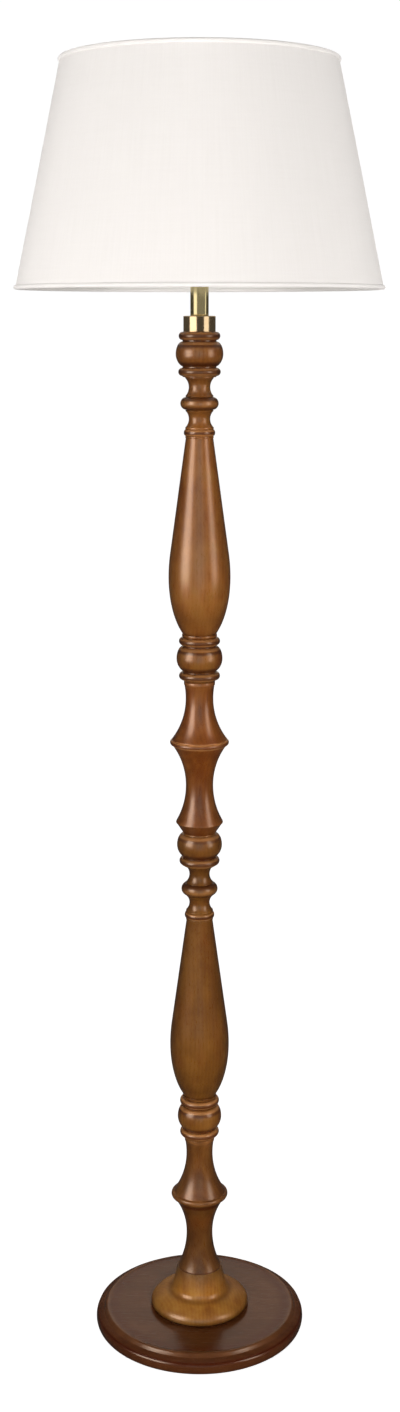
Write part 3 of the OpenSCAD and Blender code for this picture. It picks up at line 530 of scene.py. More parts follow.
seat = bottomOf("bell_foot")
bellTop = topOf("bell_foot") - joinery["tenonHeight"]
stemTop = topOf("foot_stem") - joinery["tenonHeight"]
lowTop = topOf("lower_baluster") - joinery["tenonHeight"]
spoolTop = topOf("middle_spool") - joinery["tenonHeight"]
collarFoot = bottomOf("brass_collar")

bell = {"radius": 66.0, "topRadius": 30.0, "waistRadius": 35.5, "waistRise": 29.5, "shoulderRadius": 43.0,
        "shoulderRise": 21.0, "dome": 52.0, "widest": 4.7, "undercut": 4.0, "foot": 1.5, "sunk": 2.1,
        "heelRise": 1.2, "heelStep": 1.0}


# From the bottom up: the undercut foot, the flat dome, the hollow above it and the neck
def bellOutline():
    b = bell
    under, zFoot, zBase = b["radius"] - b["undercut"], seat + b["foot"], seat + b["sunk"]
    zUnder, zWide = zFoot + b["heelRise"], zFoot + b["widest"]
    rWaist, zWaist = b["waistRadius"], zBase + b["waistRise"]
    rShoulder, zShoulder = b["shoulderRadius"], zBase + b["shoulderRise"]
    dome = math.radians(b["dome"])
    heelSteps, domeSteps, hollowSteps = 12, 30, 16
    points = [(joinery["boreRadius"], seat), (under, seat), (under, zUnder)]
    for i in range(1, heelSteps + 1):
        a = math.pi / 2 * i / heelSteps
        points.append((under + b["heelStep"] + (b["undercut"] - b["heelStep"]) * math.sin(a),
                       zWide - (zWide - zUnder) * math.cos(a)))
    for i in range(1, domeSteps):
        a = dome * i / domeSteps
        share = (math.cos(a) - math.cos(dome)) / (1 - math.cos(dome))
        points.append((rShoulder + (b["radius"] - rShoulder) * share,
                       zWide + (zShoulder - zWide) * math.sin(a) / math.sin(dome)))
    start = math.atan2(rWaist - b["topRadius"], bellTop - zWaist)
    half = math.atan2(rShoulder - rWaist, zWaist - zShoulder) - start
    arc = math.hypot(rShoulder - rWaist, zWaist - zShoulder) / (2 * math.sin(half))
    for i in range(hollowSteps, -1, -1):
        a = start + 2 * half * i / hollowSteps
        points.append((rWaist + arc * (math.cos(start) - math.cos(a)),
                       zWaist + arc * (math.sin(start) - math.sin(a))))
    return points + [(b["topRadius"], bellTop)] + tenonAt(bellTop)


stem = {"neckRadius": 17.6, "skirtRadius": 38.0, "skirtRise": 106.5, "noseHeight": 3.9, "noseWidth": 3.6,
        "under": 12.0, "coveDrop": 4.5, "coveTop": 3.0, "skirtLine": 7.0, "jointLine": 3.2,
        "lowNeck": 49.5, "highNeck": 23.5, "edge": 1.0, "noseSteps": 24, "noseInset": 0.8,
        "collarSpread": 1.5, "collarFoot": 6.0, "shoulder": 5.0}


# From the bottom up: the flare off the bell, the neck, the skirt's rounded nose and the upper neck
def stemOutline(z, zTop):
    neck, skirt, nose = stem["neckRadius"], stem["skirtRadius"], stem["noseHeight"]
    zSkirt = z + stem["skirtRise"]
    under = neck + stem["under"]
    zUnder = zSkirt - nose - stem["coveDrop"]
    # A dark line is painted as the skirt nose's shadow on the cove below it, and another at the joint
    # with the bell
    marks.append(("line", zUnder - stem["coveDrop"], stem["skirtLine"]))
    marks.append(("line", z - stem["jointLine"] / 2, stem["jointLine"]))
    zLow, zHigh = z + stem["lowNeck"], zTop - stem["highNeck"]
    noseFoot = skirt - stem["noseWidth"] - stem["noseInset"]
    points = flare(zLow, neck, z - zLow, bell["topRadius"] - stem["edge"])[::-1]
    points += flare(zLow, neck, zUnder - stem["coveTop"] - zLow, under)[1:]
    points += [(under + stem["edge"], zUnder)]
    for i in range(stem["noseSteps"] + 1):
        a = math.pi * i / stem["noseSteps"]
        points.append((skirt - stem["noseWidth"] * (1 - math.sin(a)), zSkirt - nose * math.cos(a)))
    points += flare(zHigh, neck, zSkirt + nose + stem["edge"] - zHigh, noseFoot)[::-1]
    points += flare(zHigh, neck, zTop - stem["collarFoot"] - zHigh, neck + stem["collarSpread"], 8)[1:]
    shoulder = turning["grooveRadius"] - stem["edge"]
    return points + [(shoulder, zTop - stem["shoulder"]), (shoulder, zTop)]


spool = {"neckRadius": 17.6, "cupRadius": 30.4, "cupHeight": 14.0, "rimRadius": 37.8, "rimRise": 120.0,
         "rimThickness": 6.5, "rimRound": 3.0, "rimStep": 3.4, "rimShoulder": 2.6, "rimSteps": 16,
         "lowNeck": 63.0, "highNeck": 22.0, "footProfile": [(0, 0), (0, 1), (1, 1.2)],
         "cupProfile": [(-1.2, -1.5), (-0.3, -0.8), (0, 0), (-0.3, 1.2)], "cupTop": 2.5, "edge": 1.0,
         "collarSpread": 1.5, "collarFoot": 5.0, "shoulder": 4.0}


# From the bottom up: the cup, the neck, the thin rim and the upper neck
def spoolOutline(z, zTop):
    neck, cup = spool["neckRadius"], spool["cupRadius"]
    rim, thick = spool["rimRadius"], spool["rimThickness"]
    groove = turning["grooveRadius"]
    zCup, zRim = z + spool["cupHeight"], z + spool["rimRise"]
    edge, nose, steps = spool["edge"], spool["rimRound"], spool["rimSteps"]
    # The rim takes a ring's marks: painted highlights at its edges, and glaze with painted shade in its
    # middle
    marks.append(("ring", zRim - thick / 2 - edge, thick + 2 * edge))
    zLow, zHigh = z + spool["lowNeck"], zTop - spool["highNeck"]
    points = [(groove + dr, z + dz) for dr, dz in spool["footProfile"]]
    points += [(cup + dr, zCup + dz) for dr, dz in spool["cupProfile"]]
    points += flare(zLow, neck, zCup + spool["cupTop"] - zLow, cup - edge)[::-1]
    points += flare(zLow, neck, zRim - thick / 2 - zLow, rim - nose)[1:]
    for i in range(1, steps):
        a = math.pi * i / steps
        points.append((rim - nose + nose * math.sin(a), zRim - thick / 2 * math.cos(a)))
    step, zStep = rim - spool["rimStep"], zRim + thick / 2
    points += [(step, zStep), (step, zStep + edge)]
    points += flare(zHigh, neck, zStep + edge - zHigh, rim - spool["rimShoulder"])[::-1]
    points += flare(zHigh, neck, zTop - spool["collarFoot"] - zHigh, neck + spool["collarSpread"], 8)[1:]
    return points + [(groove - edge, zTop - spool["shoulder"]), (groove - edge, zTop)]


placeWood("bellFoot", "bell_foot", "bell", bellOutline(), (0.11, 0.02, 0.0),
          reach=5.0, depth=3.5)
placeWood("footStem", "foot_stem", "stem",
          withJoints(stemOutline(bellTop, stemTop), bellTop, stemTop), (0.02, 0.35, 0.2))
placeWood("lowerBaluster", "lower_baluster", "lower",
          withJoints(balusterOutline(stemTop), stemTop, lowTop), (0.4, 0.12, 0.5))
placeWood("middleSpool", "middle_spool", "spool",
          withJoints(spoolOutline(lowTop, spoolTop), lowTop, spoolTop), (0.7, 0.6, 0.1))

# The upper baluster ends in one more ring and a spigot that stands in the collar
woodTop = collarFoot
lastRing = {"height": turning["ringHeight"], "radius": turning["ringRadius"] - 0.6}
spigot = {"radius": 18.4, "height": 6.0}
upperOutline = (
    socketAt(spoolTop)
    + balusterOutline(spoolTop)
    + ring(woodTop - lastRing["height"], lastRing["height"], turning["grooveRadius"], lastRing["radius"])
    + [(spigot["radius"], woodTop), (spigot["radius"], woodTop + spigot["height"]),
       (joinery["boreRadius"], woodTop + spigot["height"])]
)
placeWood("upperBaluster", "upper_baluster", "upper", upperOutline, (0.9, 0.2, 0.8))
print("wooden column turned")

# The base disc: a rounded band, a groove, an upper moulding, and the hollow underneath
base = {
    "radius": 141.5, "foot": 2.0, "height": 23.0, "topRadius": 123.0, "bandHeight": 14.0,
    "bandBulge": 3.0, "groove": 3.0, "lip": 0.6, "rimWidth": 19.5, "coverLip": 11.5, "wellRadius": 21.0,
    "fit": 0.25, "recessFit": 0.1, "slopeTop": (131.4, 20.7), "slopeSweep": 14, "crestRoll": 3.4,
    "crestTurn": 50, "flatRings": (119, 116, 112, 106, 90, 75), "flangeHole": 6.7, "flangeFrom": 139.5,
    "cutterDepth": 20.0, "creaseAngle": 32, "bandSteps": 20, "slopeSteps": 14, "rollSteps": 8,
    "grooveFoot": 0.2, "grooveTop": 1.2, "grooveLip": (0.7, 0.15), "slopeFoot": (0.8, 0.2),
    "crestInset": 3.0, "crestFoot": (1.8, 0.1), "flatEdge": 0.5,
}


# From the cover's seat out and up: the band, the groove, the moulding's slope and crest, and the flat;
# then down the middle and back through the wells for the washer, the ballast and the cover
def baseOutline():
    r, foot, band, bulge = base["radius"], base["foot"], base["bandHeight"], base["bandBulge"]
    top = foot + base["height"]
    zSeat = top - base["lip"]
    coverR = r - base["rimWidth"] + base["fit"]
    ballastR = r - base["rimWidth"] - base["coverLip"] + base["fit"]
    zCover = topOf("base_cover")
    zBallast = topOf("ballast_disc")
    zWell = topOf("base_washer")
    rGroove = r - base["groove"]
    zMould = foot + band + base["grooveTop"]
    bandSteps, slopeSteps, rollSteps = base["bandSteps"], base["slopeSteps"], base["rollSteps"]
    points = [(coverR, foot)]
    for i in range(bandSteps + 1):
        a = math.pi * i / bandSteps
        points.append((r - bulge + bulge * math.sin(a), foot + band / 2 * (1 - math.cos(a))))
    points += [(rGroove, foot + band + base["grooveFoot"]), (rGroove, zMould)]
    points += [(rGroove + base["grooveLip"][0], zMould + base["grooveLip"][1])]
    low = (rGroove + base["slopeFoot"][0], zMould + base["slopeFoot"][1])
    high, sweep = base["slopeTop"], base["slopeSweep"]
    lean = math.degrees(math.atan2(low[0] - high[0], high[1] - low[1]))
    arc = math.dist(low, high) / (2 * math.sin(math.radians(sweep / 2)))
    start = math.radians(lean - sweep / 2)
    for i in range(slopeSteps + 1):
        a = math.radians(lean - sweep / 2 + sweep * i / slopeSteps)
        points.append((low[0] + arc * (math.cos(a) - math.cos(start)),
                       low[1] + arc * (math.sin(a) - math.sin(start))))
    crest, roll = base["topRadius"], base["crestRoll"]
    for i in range(rollSteps + 1):
        a = math.radians(base["crestTurn"] * (1 - i / rollSteps))
        points.append((crest + base["crestInset"] + roll * math.sin(a), top - roll * (1 - math.cos(a))))
    recess = bell["radius"] - bell["undercut"] + base["recessFit"]
    points += [(crest + base["crestFoot"][0], top - base["crestFoot"][1])]
    points += [(crest - base["flatEdge"], zSeat)]
    points += [(flatRadius, zSeat) for flatRadius in base["flatRings"]]
    points += [(recess, zSeat), (recess, seat), (joinery["boreRadius"], seat)]
    points += [(joinery["boreRadius"], zWell), (base["wellRadius"], zWell),
               (base["wellRadius"], zBallast), (ballastR, zBallast), (ballastR, zCover), (coverR, zCover)]
    return points


def cutAway(obj, cutter):
    modifier = obj.modifiers.new("cut", "BOOLEAN")
    modifier.object = cutter
    modifier.operation = "DIFFERENCE"
    modifier.solver = "EXACT"
    graph = bpy.context.evaluated_depsgraph_get()
    cut = bpy.data.meshes.new_from_object(obj.evaluated_get(graph))
    obj.modifiers.clear()
    obj.data = cut
    bpy.data.objects.remove(cutter)


# Dark glaze and painted shade lie in the groove, painted shade lies inside the flat's rim, and a faint
# painted highlight lies on the moulding's crest.
# Each mark is (heights or radii in millimetres, strengths)
baseMarks = {
    "groove": ((12.5, 15.5, 17.3, 18.6), (0, 1, 1, 0)), "outerBand": 12,
    "rim": ((106, 115, 121, 124), (0, 0.75, 0.75, 0)), "rimAbove": 23,
    "crest": ((123, 126, 130, 134), (0, 0.12, 0.12, 0)), "crestAbove": 20,
}


def markBase(obj):
    places = np.array([[math.hypot(v.co.x, v.co.y), v.co.z] for v in obj.data.vertices]) / mm
    radius, height = places[:, 0], places[:, 1]
    outer = radius > base["topRadius"] - baseMarks["outerBand"]
    groove = np.interp(height, *baseMarks["groove"]) * outer
    rim = np.interp(radius, *baseMarks["rim"]) * (height > baseMarks["rimAbove"])
    crest = np.interp(radius, *baseMarks["crest"]) * (height > baseMarks["crestAbove"]) * outer
    # The groove attribute carries glaze and painted shade, and the pale one a painted highlight
    storeByVertex(obj, "groove", np.maximum(groove, rim))
    storeByVertex(obj, "paleHighlightAndWear", crest)
    storeByVertex(obj, "edge", np.zeros(len(radius)))


# The flange of the cord's bush is let into the band at the back
inletLow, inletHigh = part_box("cord_bush")
inletZ = (inletLow.z + inletHigh.z) / 2
bm = bmesh.new()
bmesh.ops.create_cone(bm, cap_ends=True, segments=48, radius1=base["flangeHole"] * mm,
                      radius2=base["flangeHole"] * mm, depth=base["cutterDepth"] * mm)
bmesh.ops.rotate(bm, cent=(0, 0, 0), verts=bm.verts,
                 matrix=Vector((0, 0, 1)).rotation_difference(Vector((0, 1, 0))).to_matrix())
bmesh.ops.translate(bm, verts=bm.verts,
                    vec=(0, (base["flangeFrom"] + base["cutterDepth"] / 2) * mm, inletZ))
flangeCutter = finishMesh(bm, "flangeCutter", base["creaseAngle"])
baseDisc = turnOnLathe("baseDisc", baseOutline(), steps=192)
cutAway(baseDisc, flangeCutter)
markBase(baseDisc)
dress(baseDisc, makeWood("baseWood", "base", (0.2, 0.9, 0.05), alongX=True, ringSpacing=9.0))
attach(baseDisc, "lamp")
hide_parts("base_disc")
print("base turned")


# Bright metal: fine turning lines round the axis, and a faint cloud of tarnish
def makeMetal(name, colour, dull, roughLow, roughHigh):
    material, tree, shader = blank(name)
    coords = tree.nodes.new("ShaderNodeTexCoord").outputs["Object"]
    cloud = noise(tree, coords, 55, 4)
    fine = noise(tree, mapped(tree, coords, scale=(0.05, 0.05, 1)), 9000, 2)
    tarnish = mixed(tree, spread(tree, cloud, 0.0, 0.55, 0.35, 0.75), colour, dull)
    roughness = sums(tree, "ADD", spread(tree, cloud, roughLow, roughHigh),
                     sums(tree, "MULTIPLY", fine, 0.05))
    tree.links.new(tarnish, shader.inputs["Base Color"])
    tree.links.new(roughness, shader.inputs["Roughness"])
    shader.inputs["Metallic"].default_value = 1.0
    bumped(tree, shader, fine, 0.02, 0.00005)
    return material


# Moulded, painted or rubber surfaces: a little mottling in colour and gloss, and a fine skin
def makeMoulded(name, colour, dull, roughLow, roughHigh, fineness, skin=0.1, coat=0.0, mottle=35):
    material, tree, shader = blank(name)
    coords = tree.nodes.new("ShaderNodeTexCoord").outputs["Object"]
    cloud = noise(tree, coords, mottle, 4)
    fine = noise(tree, coords, fineness, 3)
    tree.links.new(mixed(tree, spread(tree, cloud, 0.0, 0.8), colour, dull), shader.inputs["Base Color"])
    tree.links.new(spread(tree, fine, roughLow, roughHigh), shader.inputs["Roughness"])
    shader.inputs["Coat Weight"].default_value = coat
    bumped(tree, shader, fine, skin, 0.0001)
    return material


brass = makeMetal("brassFinish", (0.74, 0.63, 0.34), (0.60, 0.49, 0.24), 0.13, 0.20)
goldBrass = makeMetal("collarFinish", (0.90, 0.68, 0.41), (0.74, 0.52, 0.26), 0.10, 0.16)
contactBrass = makeMetal("contactBrass", (0.72, 0.48, 0.22), (0.5, 0.33, 0.15), 0.3, 0.45)
zincSteel = makeMetal("zincSteel", (0.66, 0.67, 0.68), (0.48, 0.49, 0.5), 0.28, 0.42)
capMetal = makeMetal("capMetal", (0.78, 0.78, 0.77), (0.62, 0.62, 0.61), 0.22, 0.34)
iron = makeMoulded("ballastIron", (0.045, 0.044, 0.043), (0.09, 0.075, 0.065), 0.45, 0.75, 500, skin=0.5)
board = makeMoulded("coverBoard", (0.07, 0.05, 0.036), (0.11, 0.08, 0.058), 0.6, 0.85, 1400, skin=0.3)
rubber = makeMoulded("padRubber", (0.02, 0.02, 0.021), (0.045, 0.044, 0.043), 0.65, 0.85, 1800, skin=0.3)
bushPlastic = makeMoulded("bushPlastic", (0.022, 0.019, 0.017), (0.04, 0.035, 0.032), 0.4, 0.55, 2200)
corePlastic = makeMoulded("corePlastic", (0.72, 0.68, 0.6), (0.62, 0.57, 0.49), 0.16, 0.26, 300,
                          skin=0.05, coat=0.3)
frameWhite = makeMoulded("frameWhite", (0.82, 0.82, 0.80), (0.74, 0.73, 0.70), 0.3, 0.42, 1600,
                         skin=0.15, coat=0.2)
styrene = makeMoulded("linerStyrene", (0.86, 0.86, 0.84), (0.82, 0.81, 0.78), 0.42, 0.55, 700,
                      skin=0.06, mottle=12)

finishes = {
    "contact_brass": contactBrass, "brass": brass, "zinc_steel": zincSteel, "cap_metal": capMetal,
    "ballast_iron": iron, "cover_board": board, "pad_rubber": rubber, "bush_plastic": bushPlastic,
    "core_plastic": corePlastic, "frame_wire": frameWhite, "liner": styrene,
}
slotOf = {part["node"]: part["material_slot"] for part in frame["record"]["subparts"]}
for nodeName, obj in nodes.items():
    if slotOf[nodeName] in finishes:
        dress(obj, finishes[slotOf[nodeName]])
print("metal and moulded parts finished")

# The collar and the riser, with softened rims
collar = {"radius": 19.7, "wall": 1.2, "height": 19.0, "hole": 5.2, "roll": 0.9, "lid": 2.0, "steps": 8}
zCollar = collarFoot + collar["height"]
collarOutline = [(collar["radius"] - collar["wall"], collarFoot), (collar["radius"], collarFoot)]
for i in range(collar["steps"] + 1):
    a = math.pi / 2 * i / collar["steps"]
    collarOutline.append((collar["radius"] - collar["roll"] * (1 - math.cos(a)),
                          zCollar - collar["roll"] * (1 - math.sin(a))))
collarOutline += [(collar["hole"], zCollar), (collar["hole"], zCollar - collar["lid"]),
                  (collar["radius"] - collar["wall"], zCollar - collar["lid"])]
brassCollar = dress(turnOnLathe("brassCollar", collarOutline, rounding=0.25), goldBrass)
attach(brassCollar, "lamp")
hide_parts("brass_collar")

riser = {"radius": 11.15, "wall": 1.0}
zRiser = topOf("brass_riser")
riserOutline = [(riser["radius"] - riser["wall"], zCollar), (riser["radius"], zCollar),
                (riser["radius"], zRiser), (riser["radius"] - riser["wall"], zRiser)]
brassRiser = dress(turnOnLathe("brassRiser", riserOutline, steps=96, rounding=0.2), brass)
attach(brassRiser, "lamp")
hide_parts("brass_riser")
print("collar and riser turned")

# The bulb's opal glass, a thin pear
bulb = {"radius": 30.0, "neckRadius": 12.8, "wall": 1.0, "neckHeight": 5.0, "steps": 24}


def pear(rBall, rNeck, zFoot, zTop):
    zRound = zTop - rBall
    zNeck = zFoot + bulb["neckHeight"]
    steps = bulb["steps"]
    points = [(rNeck, zFoot)]
    for i in range(steps + 1):
        t = i / steps
        points.append((rNeck + (rBall - rNeck) * (1 - math.cos(math.pi * t)) / 2,
                       zNeck + (zRound - zNeck) * t))
    for i in range(1, steps + 1):
        a = math.pi / 2 * i / steps
        points.append((max(rBall * math.cos(a), 0), zRound + rBall * math.sin(a)))
    return points


glassFoot, glassTop = bottomOf("bulb_glass"), topOf("bulb_glass")
pearOutline = (pear(bulb["radius"], bulb["neckRadius"], glassFoot, glassTop)
               + pear(bulb["radius"] - bulb["wall"], bulb["neckRadius"] - bulb["wall"], glassFoot,
                      glassTop - bulb["wall"])[::-1])
bulbGlass = turnOnLathe("bulbGlass", pearOutline, steps=72, rounding=0)


def makeOpal():
    material, tree, shader = blank("opalGlass")
    coords = tree.nodes.new("ShaderNodeTexCoord").outputs["Object"]
    cloud = noise(tree, coords, 20, 3)
    tree.links.new(mixed(tree, spread(tree, cloud, 0, 1), (0.90, 0.90, 0.88), (0.84, 0.84, 0.82)),
                   shader.inputs["Base Color"])
    tree.links.new(spread(tree, cloud, 0.06, 0.12), shader.inputs["Roughness"])
    shader.inputs["Subsurface Weight"].default_value = 0.3
    shader.inputs["Subsurface Scale"].default_value = 0.004
    return material


dress(bulbGlass, makeOpal())
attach(bulbGlass, "bulb")
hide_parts("bulb_glass")
print("bulb blown")

# The shade: a stiff liner, linen bonded over it, a lap seam at the back and rolled hems
shade = {"bottomRadius": 225.0, "topRadius": 167.5, "hemRadius": 2.7, "linerWall": 0.6, "linenWall": 0.5,
         "cutBack": 2.3, "seamWidth": 11.0, "seamRise": 0.45, "seamRadius": 195, "seamSegments": 10,
         "segments": 240, "rows": 26, "creaseAngle": 40, "ripple": 0.35, "skinGap": 0.02}

# The cloth's ripple, as (size, waves round the shade, twist from edge to edge, start)
ripples = [(0.5, 5, 0, 1.3), (0.3, 11, 4, 0), (0.2, 23, -2, 0.7)]

# The two wires as (radius, height), and the line of the cloth between them
lowWire = Vector((shade["bottomRadius"] - shade["hemRadius"],
                  bottomOf("bottom_hem") + shade["hemRadius"]))
highWire = Vector((shade["topRadius"] - shade["hemRadius"], topOf("top_hem") - shade["hemRadius"]))
along = (highWire - lowWire).normalized()
outward = Vector((along.y, -along.x))
skinLow = lowWire + along * shade["cutBack"]
skinHigh = highWire - along * shade["cutBack"]


# A skin is a cone with its wall between two distances from the wires' common line
def shadeSkin(name, inside, outside, fromAngle=0.0, toAngle=360.0, ripple=0.0):
    whole = toAngle - fromAngle >= 360
    segments = shade["segments" if whole else "seamSegments"]
    low, high = skinLow + outward * inside, skinHigh + outward * inside
    bm = bmesh.new()
    rows = shade["rows"]
    column = []
    for i in range(rows + 1):
        x, z = low.x + (high.x - low.x) * i / rows, low.y + (high.y - low.y) * i / rows
        column.append(bm.verts.new((x * mm, 0, z * mm)))
    for a, b in zip(column, column[1:]):
        bm.edges.new((a, b))
    bmesh.ops.rotate(bm, cent=(0, 0, 0), verts=bm.verts,
                     matrix=Matrix.Rotation(math.radians(fromAngle), 3, "Z"))
    bmesh.ops.spin(bm, geom=bm.verts[:] + bm.edges[:], cent=(0, 0, 0), axis=(0, 0, 1), dvec=(0, 0, 0),
                   angle=math.radians(toAngle - fromAngle), steps=segments, use_merge=whole,
                   use_duplicate=False)
    for vert in bm.verts:
        angle = math.atan2(vert.co.y, vert.co.x)
        share = (vert.co.z / mm - low.y) / (high.y - low.y)
        calm = math.sin(math.pi * min(max(share, 0), 1))
        wave = sum(size * math.sin(waves * angle + twist * share + start)
                   for size, waves, twist, start in ripples)
        push = ripple * calm * wave
        vert.co.x += push * mm * math.cos(angle)
        vert.co.y += push * mm * math.sin(angle)
    uvLayer = bm.loops.layers.uv.new("clothUv")
    middleRadius = (low.x + high.x) / 2 * mm
    slant = (high - low).length * mm
    for face in bm.faces:
        angles = [math.atan2(loop.vert.co.y, loop.vert.co.x) for loop in face.loops]
        wraps = max(angles) - min(angles) > math.pi
        for loop, angle in zip(face.loops, angles):
            if wraps and angle < 0:
                angle += 2 * math.pi
            share = (loop.vert.co.z / mm - low.y) / (high.y - low.y)
            loop[uvLayer].uv = (angle * middleRadius, share * slant)
    bmesh.ops.recalc_face_normals(bm, faces=bm.faces)
    facing = sum(face.normal.xy.dot(face.calc_center_median().xy) for face in bm.faces)
    if facing < 0:
        bmesh.ops.reverse_faces(bm, faces=bm.faces)
    bmesh.ops.solidify(bm, geom=bm.faces, thickness=-(outside - inside) * mm)
    return smoothShaded(meshObject(bm, name), shade["creaseAngle"])


# Plain linen: warp and weft threads of uneven thickness, with slubs along both; spacings in millimetres
threads = {"warp": 0.55, "weft": 0.55 * 1.15}


def threadWaves(tree, coords, spacing, distortion, direction):
    waves = addNode(tree, "ShaderNodeTexWave", {"Scale": 0.314 / (spacing * mm), "Distortion": distortion,
                                                "Detail": 2, "Detail Scale": 0.3},
                    wave_type="BANDS", bands_direction=direction)
    tree.links.new(coords, waves.inputs["Vector"])
    return waves.outputs["Fac"]


def makeLinen(name, light, shadow, useUv=True, relief=0.5):
    material, tree, shader = blank(name)
    coords = tree.nodes.new("ShaderNodeTexCoord").outputs["UV" if useUv else "Object"]
    wobble = noise(tree, coords, 90, 2)
    warp = threadWaves(tree, coords, threads["warp"], 1.4, "X")
    weft = threadWaves(tree, coords, threads["weft"], 1.6, "Y")
    across = noise(tree, mapped(tree, coords, scale=(1, 0.02, 1)), 520, 3, 0.6)
    lengthwise = noise(tree, mapped(tree, coords, scale=(0.03, 1, 1), place=(0, 0.4, 0)), 430, 3, 0.6)
    knots = noise(tree, mapped(tree, coords, scale=(1, 0.05, 1), place=(0.7, 0.2, 0)), 300, 2)
    slubs = spread(tree, knots, 0, 1, 0.60, 0.78)
    weave = sums(tree, "MULTIPLY", sums(tree, "ADD", warp, weft), 0.5)
    tone = sums(tree, "ADD", sums(tree, "MULTIPLY", across, 0.5),
                sums(tree, "ADD", sums(tree, "MULTIPLY", lengthwise, 0.28),
                     sums(tree, "MULTIPLY", weave, 0.22)))
    share = spread(tree, tone, 1.0, 0.0, 0.36, 0.62)
    colour = mixed(tree, share, light, shadow)
    colour = mixed(tree, sums(tree, "MULTIPLY", slubs, 0.35), colour, shadow)
    tree.links.new(colour, shader.inputs["Base Color"])
    tree.links.new(spread(tree, wobble, 0.78, 0.92), shader.inputs["Roughness"])
    shader.inputs["Sheen Weight"].default_value = 0.12
    shader.inputs["Sheen Roughness"].default_value = 0.5
    shader.inputs["Specular IOR Level"].default_value = 0.25
    bumped(tree, shader, sums(tree, "ADD", weave, sums(tree, "MULTIPLY", slubs, 0.8)), relief, 0.00025)
    return material


linenCloth = makeLinen("linenCloth", (0.905, 0.885, 0.865), (0.875, 0.855, 0.832))
hemCloth = makeLinen("hemCloth", (0.87, 0.85, 0.83), (0.86, 0.84, 0.82), useUv=False, relief=0.1)

liner = shadeSkin("shadeLiner", -shade["linerWall"], 0.0)
dress(liner, styrene)
linen = shadeSkin("shadeLinen", shade["skinGap"], shade["linenWall"], ripple=shade["ripple"])
dress(linen, linenCloth)
seamHalf = math.degrees(shade["seamWidth"] / 2 / shade["seamRadius"])
seam = shadeSkin("shadeSeam", shade["linenWall"] - shade["skinGap"],
                 shade["linenWall"] + shade["seamRise"], 90 - seamHalf, 90 + seamHalf)
dress(seam, linenCloth)


# A hem is a strip rolled over the wire, a little thinner on its inner side and faintly puckered:
# each pucker is (size, waves round the shade, start)
hem = {"sides": 28, "thinBeyond": -0.2, "thinner": 0.25, "puckers": [(0.06, 173, 0), (0.05, 97, 1.1)],
       "drawnIn": 0.11}


def rolledHem(name, wire):
    points = []
    for i in range(hem["sides"]):
        a = 2 * math.pi * i / hem["sides"]
        r = shade["hemRadius"] - (0.0 if math.cos(a) > hem["thinBeyond"] else hem["thinner"])
        points.append((wire.x + r * math.cos(a), wire.y + r * math.sin(a)))
    obj = turnOnLathe(name, points, steps=360, rounding=0)
    centre = Vector((wire.x * mm, wire.y * mm))
    for vert in obj.data.vertices:
        angle = math.atan2(vert.co.y, vert.co.x)
        radius = math.hypot(vert.co.x, vert.co.y)
        pucker = sum(size * math.sin(waves * angle + start) for size, waves, start in hem["puckers"])
        away = Vector((radius, vert.co.z)) - centre
        new = centre + away * (1 + (pucker - hem["drawnIn"]) / shade["hemRadius"])
        vert.co.x *= new.x / radius
        vert.co.y *= new.x / radius
        vert.co.z = new.y
    return dress(obj, hemCloth)


bottomHem = rolledHem("bottomHem", lowWire)
topHem = rolledHem("topHem", highWire)
for obj, node, slotName in ((liner, "shade_liner", "liner"), (linen, "shade_linen", "linen"),
                            (seam, None, "linen"), (bottomHem, "bottom_hem", "linen"),
                            (topHem, "top_hem", "linen")):
    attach(obj, "shade")
    if node:
        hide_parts(node)

print("shade covered")

# The studio: a pale floor inside a white tent, dim surroundings, a broad front light for the wood's
# colour, softboxes at either side for its sheen, and lights of their own for the metal and the shade
studio = {
    "surround": (1.0, 0.97, 0.94), "surroundPower": 0.07,
    "floorSize": 24.0, "floorTone": (0.90, 0.90, 0.90), "floorGlow": 1.02,
    "tentRadius": 11.5, "tentHeight": 14.0, "tentGlow": 1.02,
    "lightTone": (1.0, 0.975, 0.96), "sheenTone": (1.0, 0.83, 0.66),
}

world = bpy.data.worlds.new("surround")
world.use_nodes = True
world.node_tree.nodes["Background"].inputs["Color"].default_value = (*studio["surround"], 1)
world.node_tree.nodes["Background"].inputs["Strength"].default_value = studio["surroundPower"]
bpy.context.scene.world = world

shadePieces = [liner, linen, seam, bottomHem, topHem]
metalPieces = [brassCollar, brassRiser]
receivers = {"shade": shadePieces, "collar": [brassCollar], "riser": [brassRiser],
             "wood": [obj for obj in bpy.context.scene.objects
                      if obj.type == "MESH" and obj not in shadePieces + metalPieces]}
groups = {}
for name, pieces in receivers.items():
    groups[name] = bpy.data.collections.new(name + "Group")
    for obj in pieces:
        groups[name].objects.link(obj)

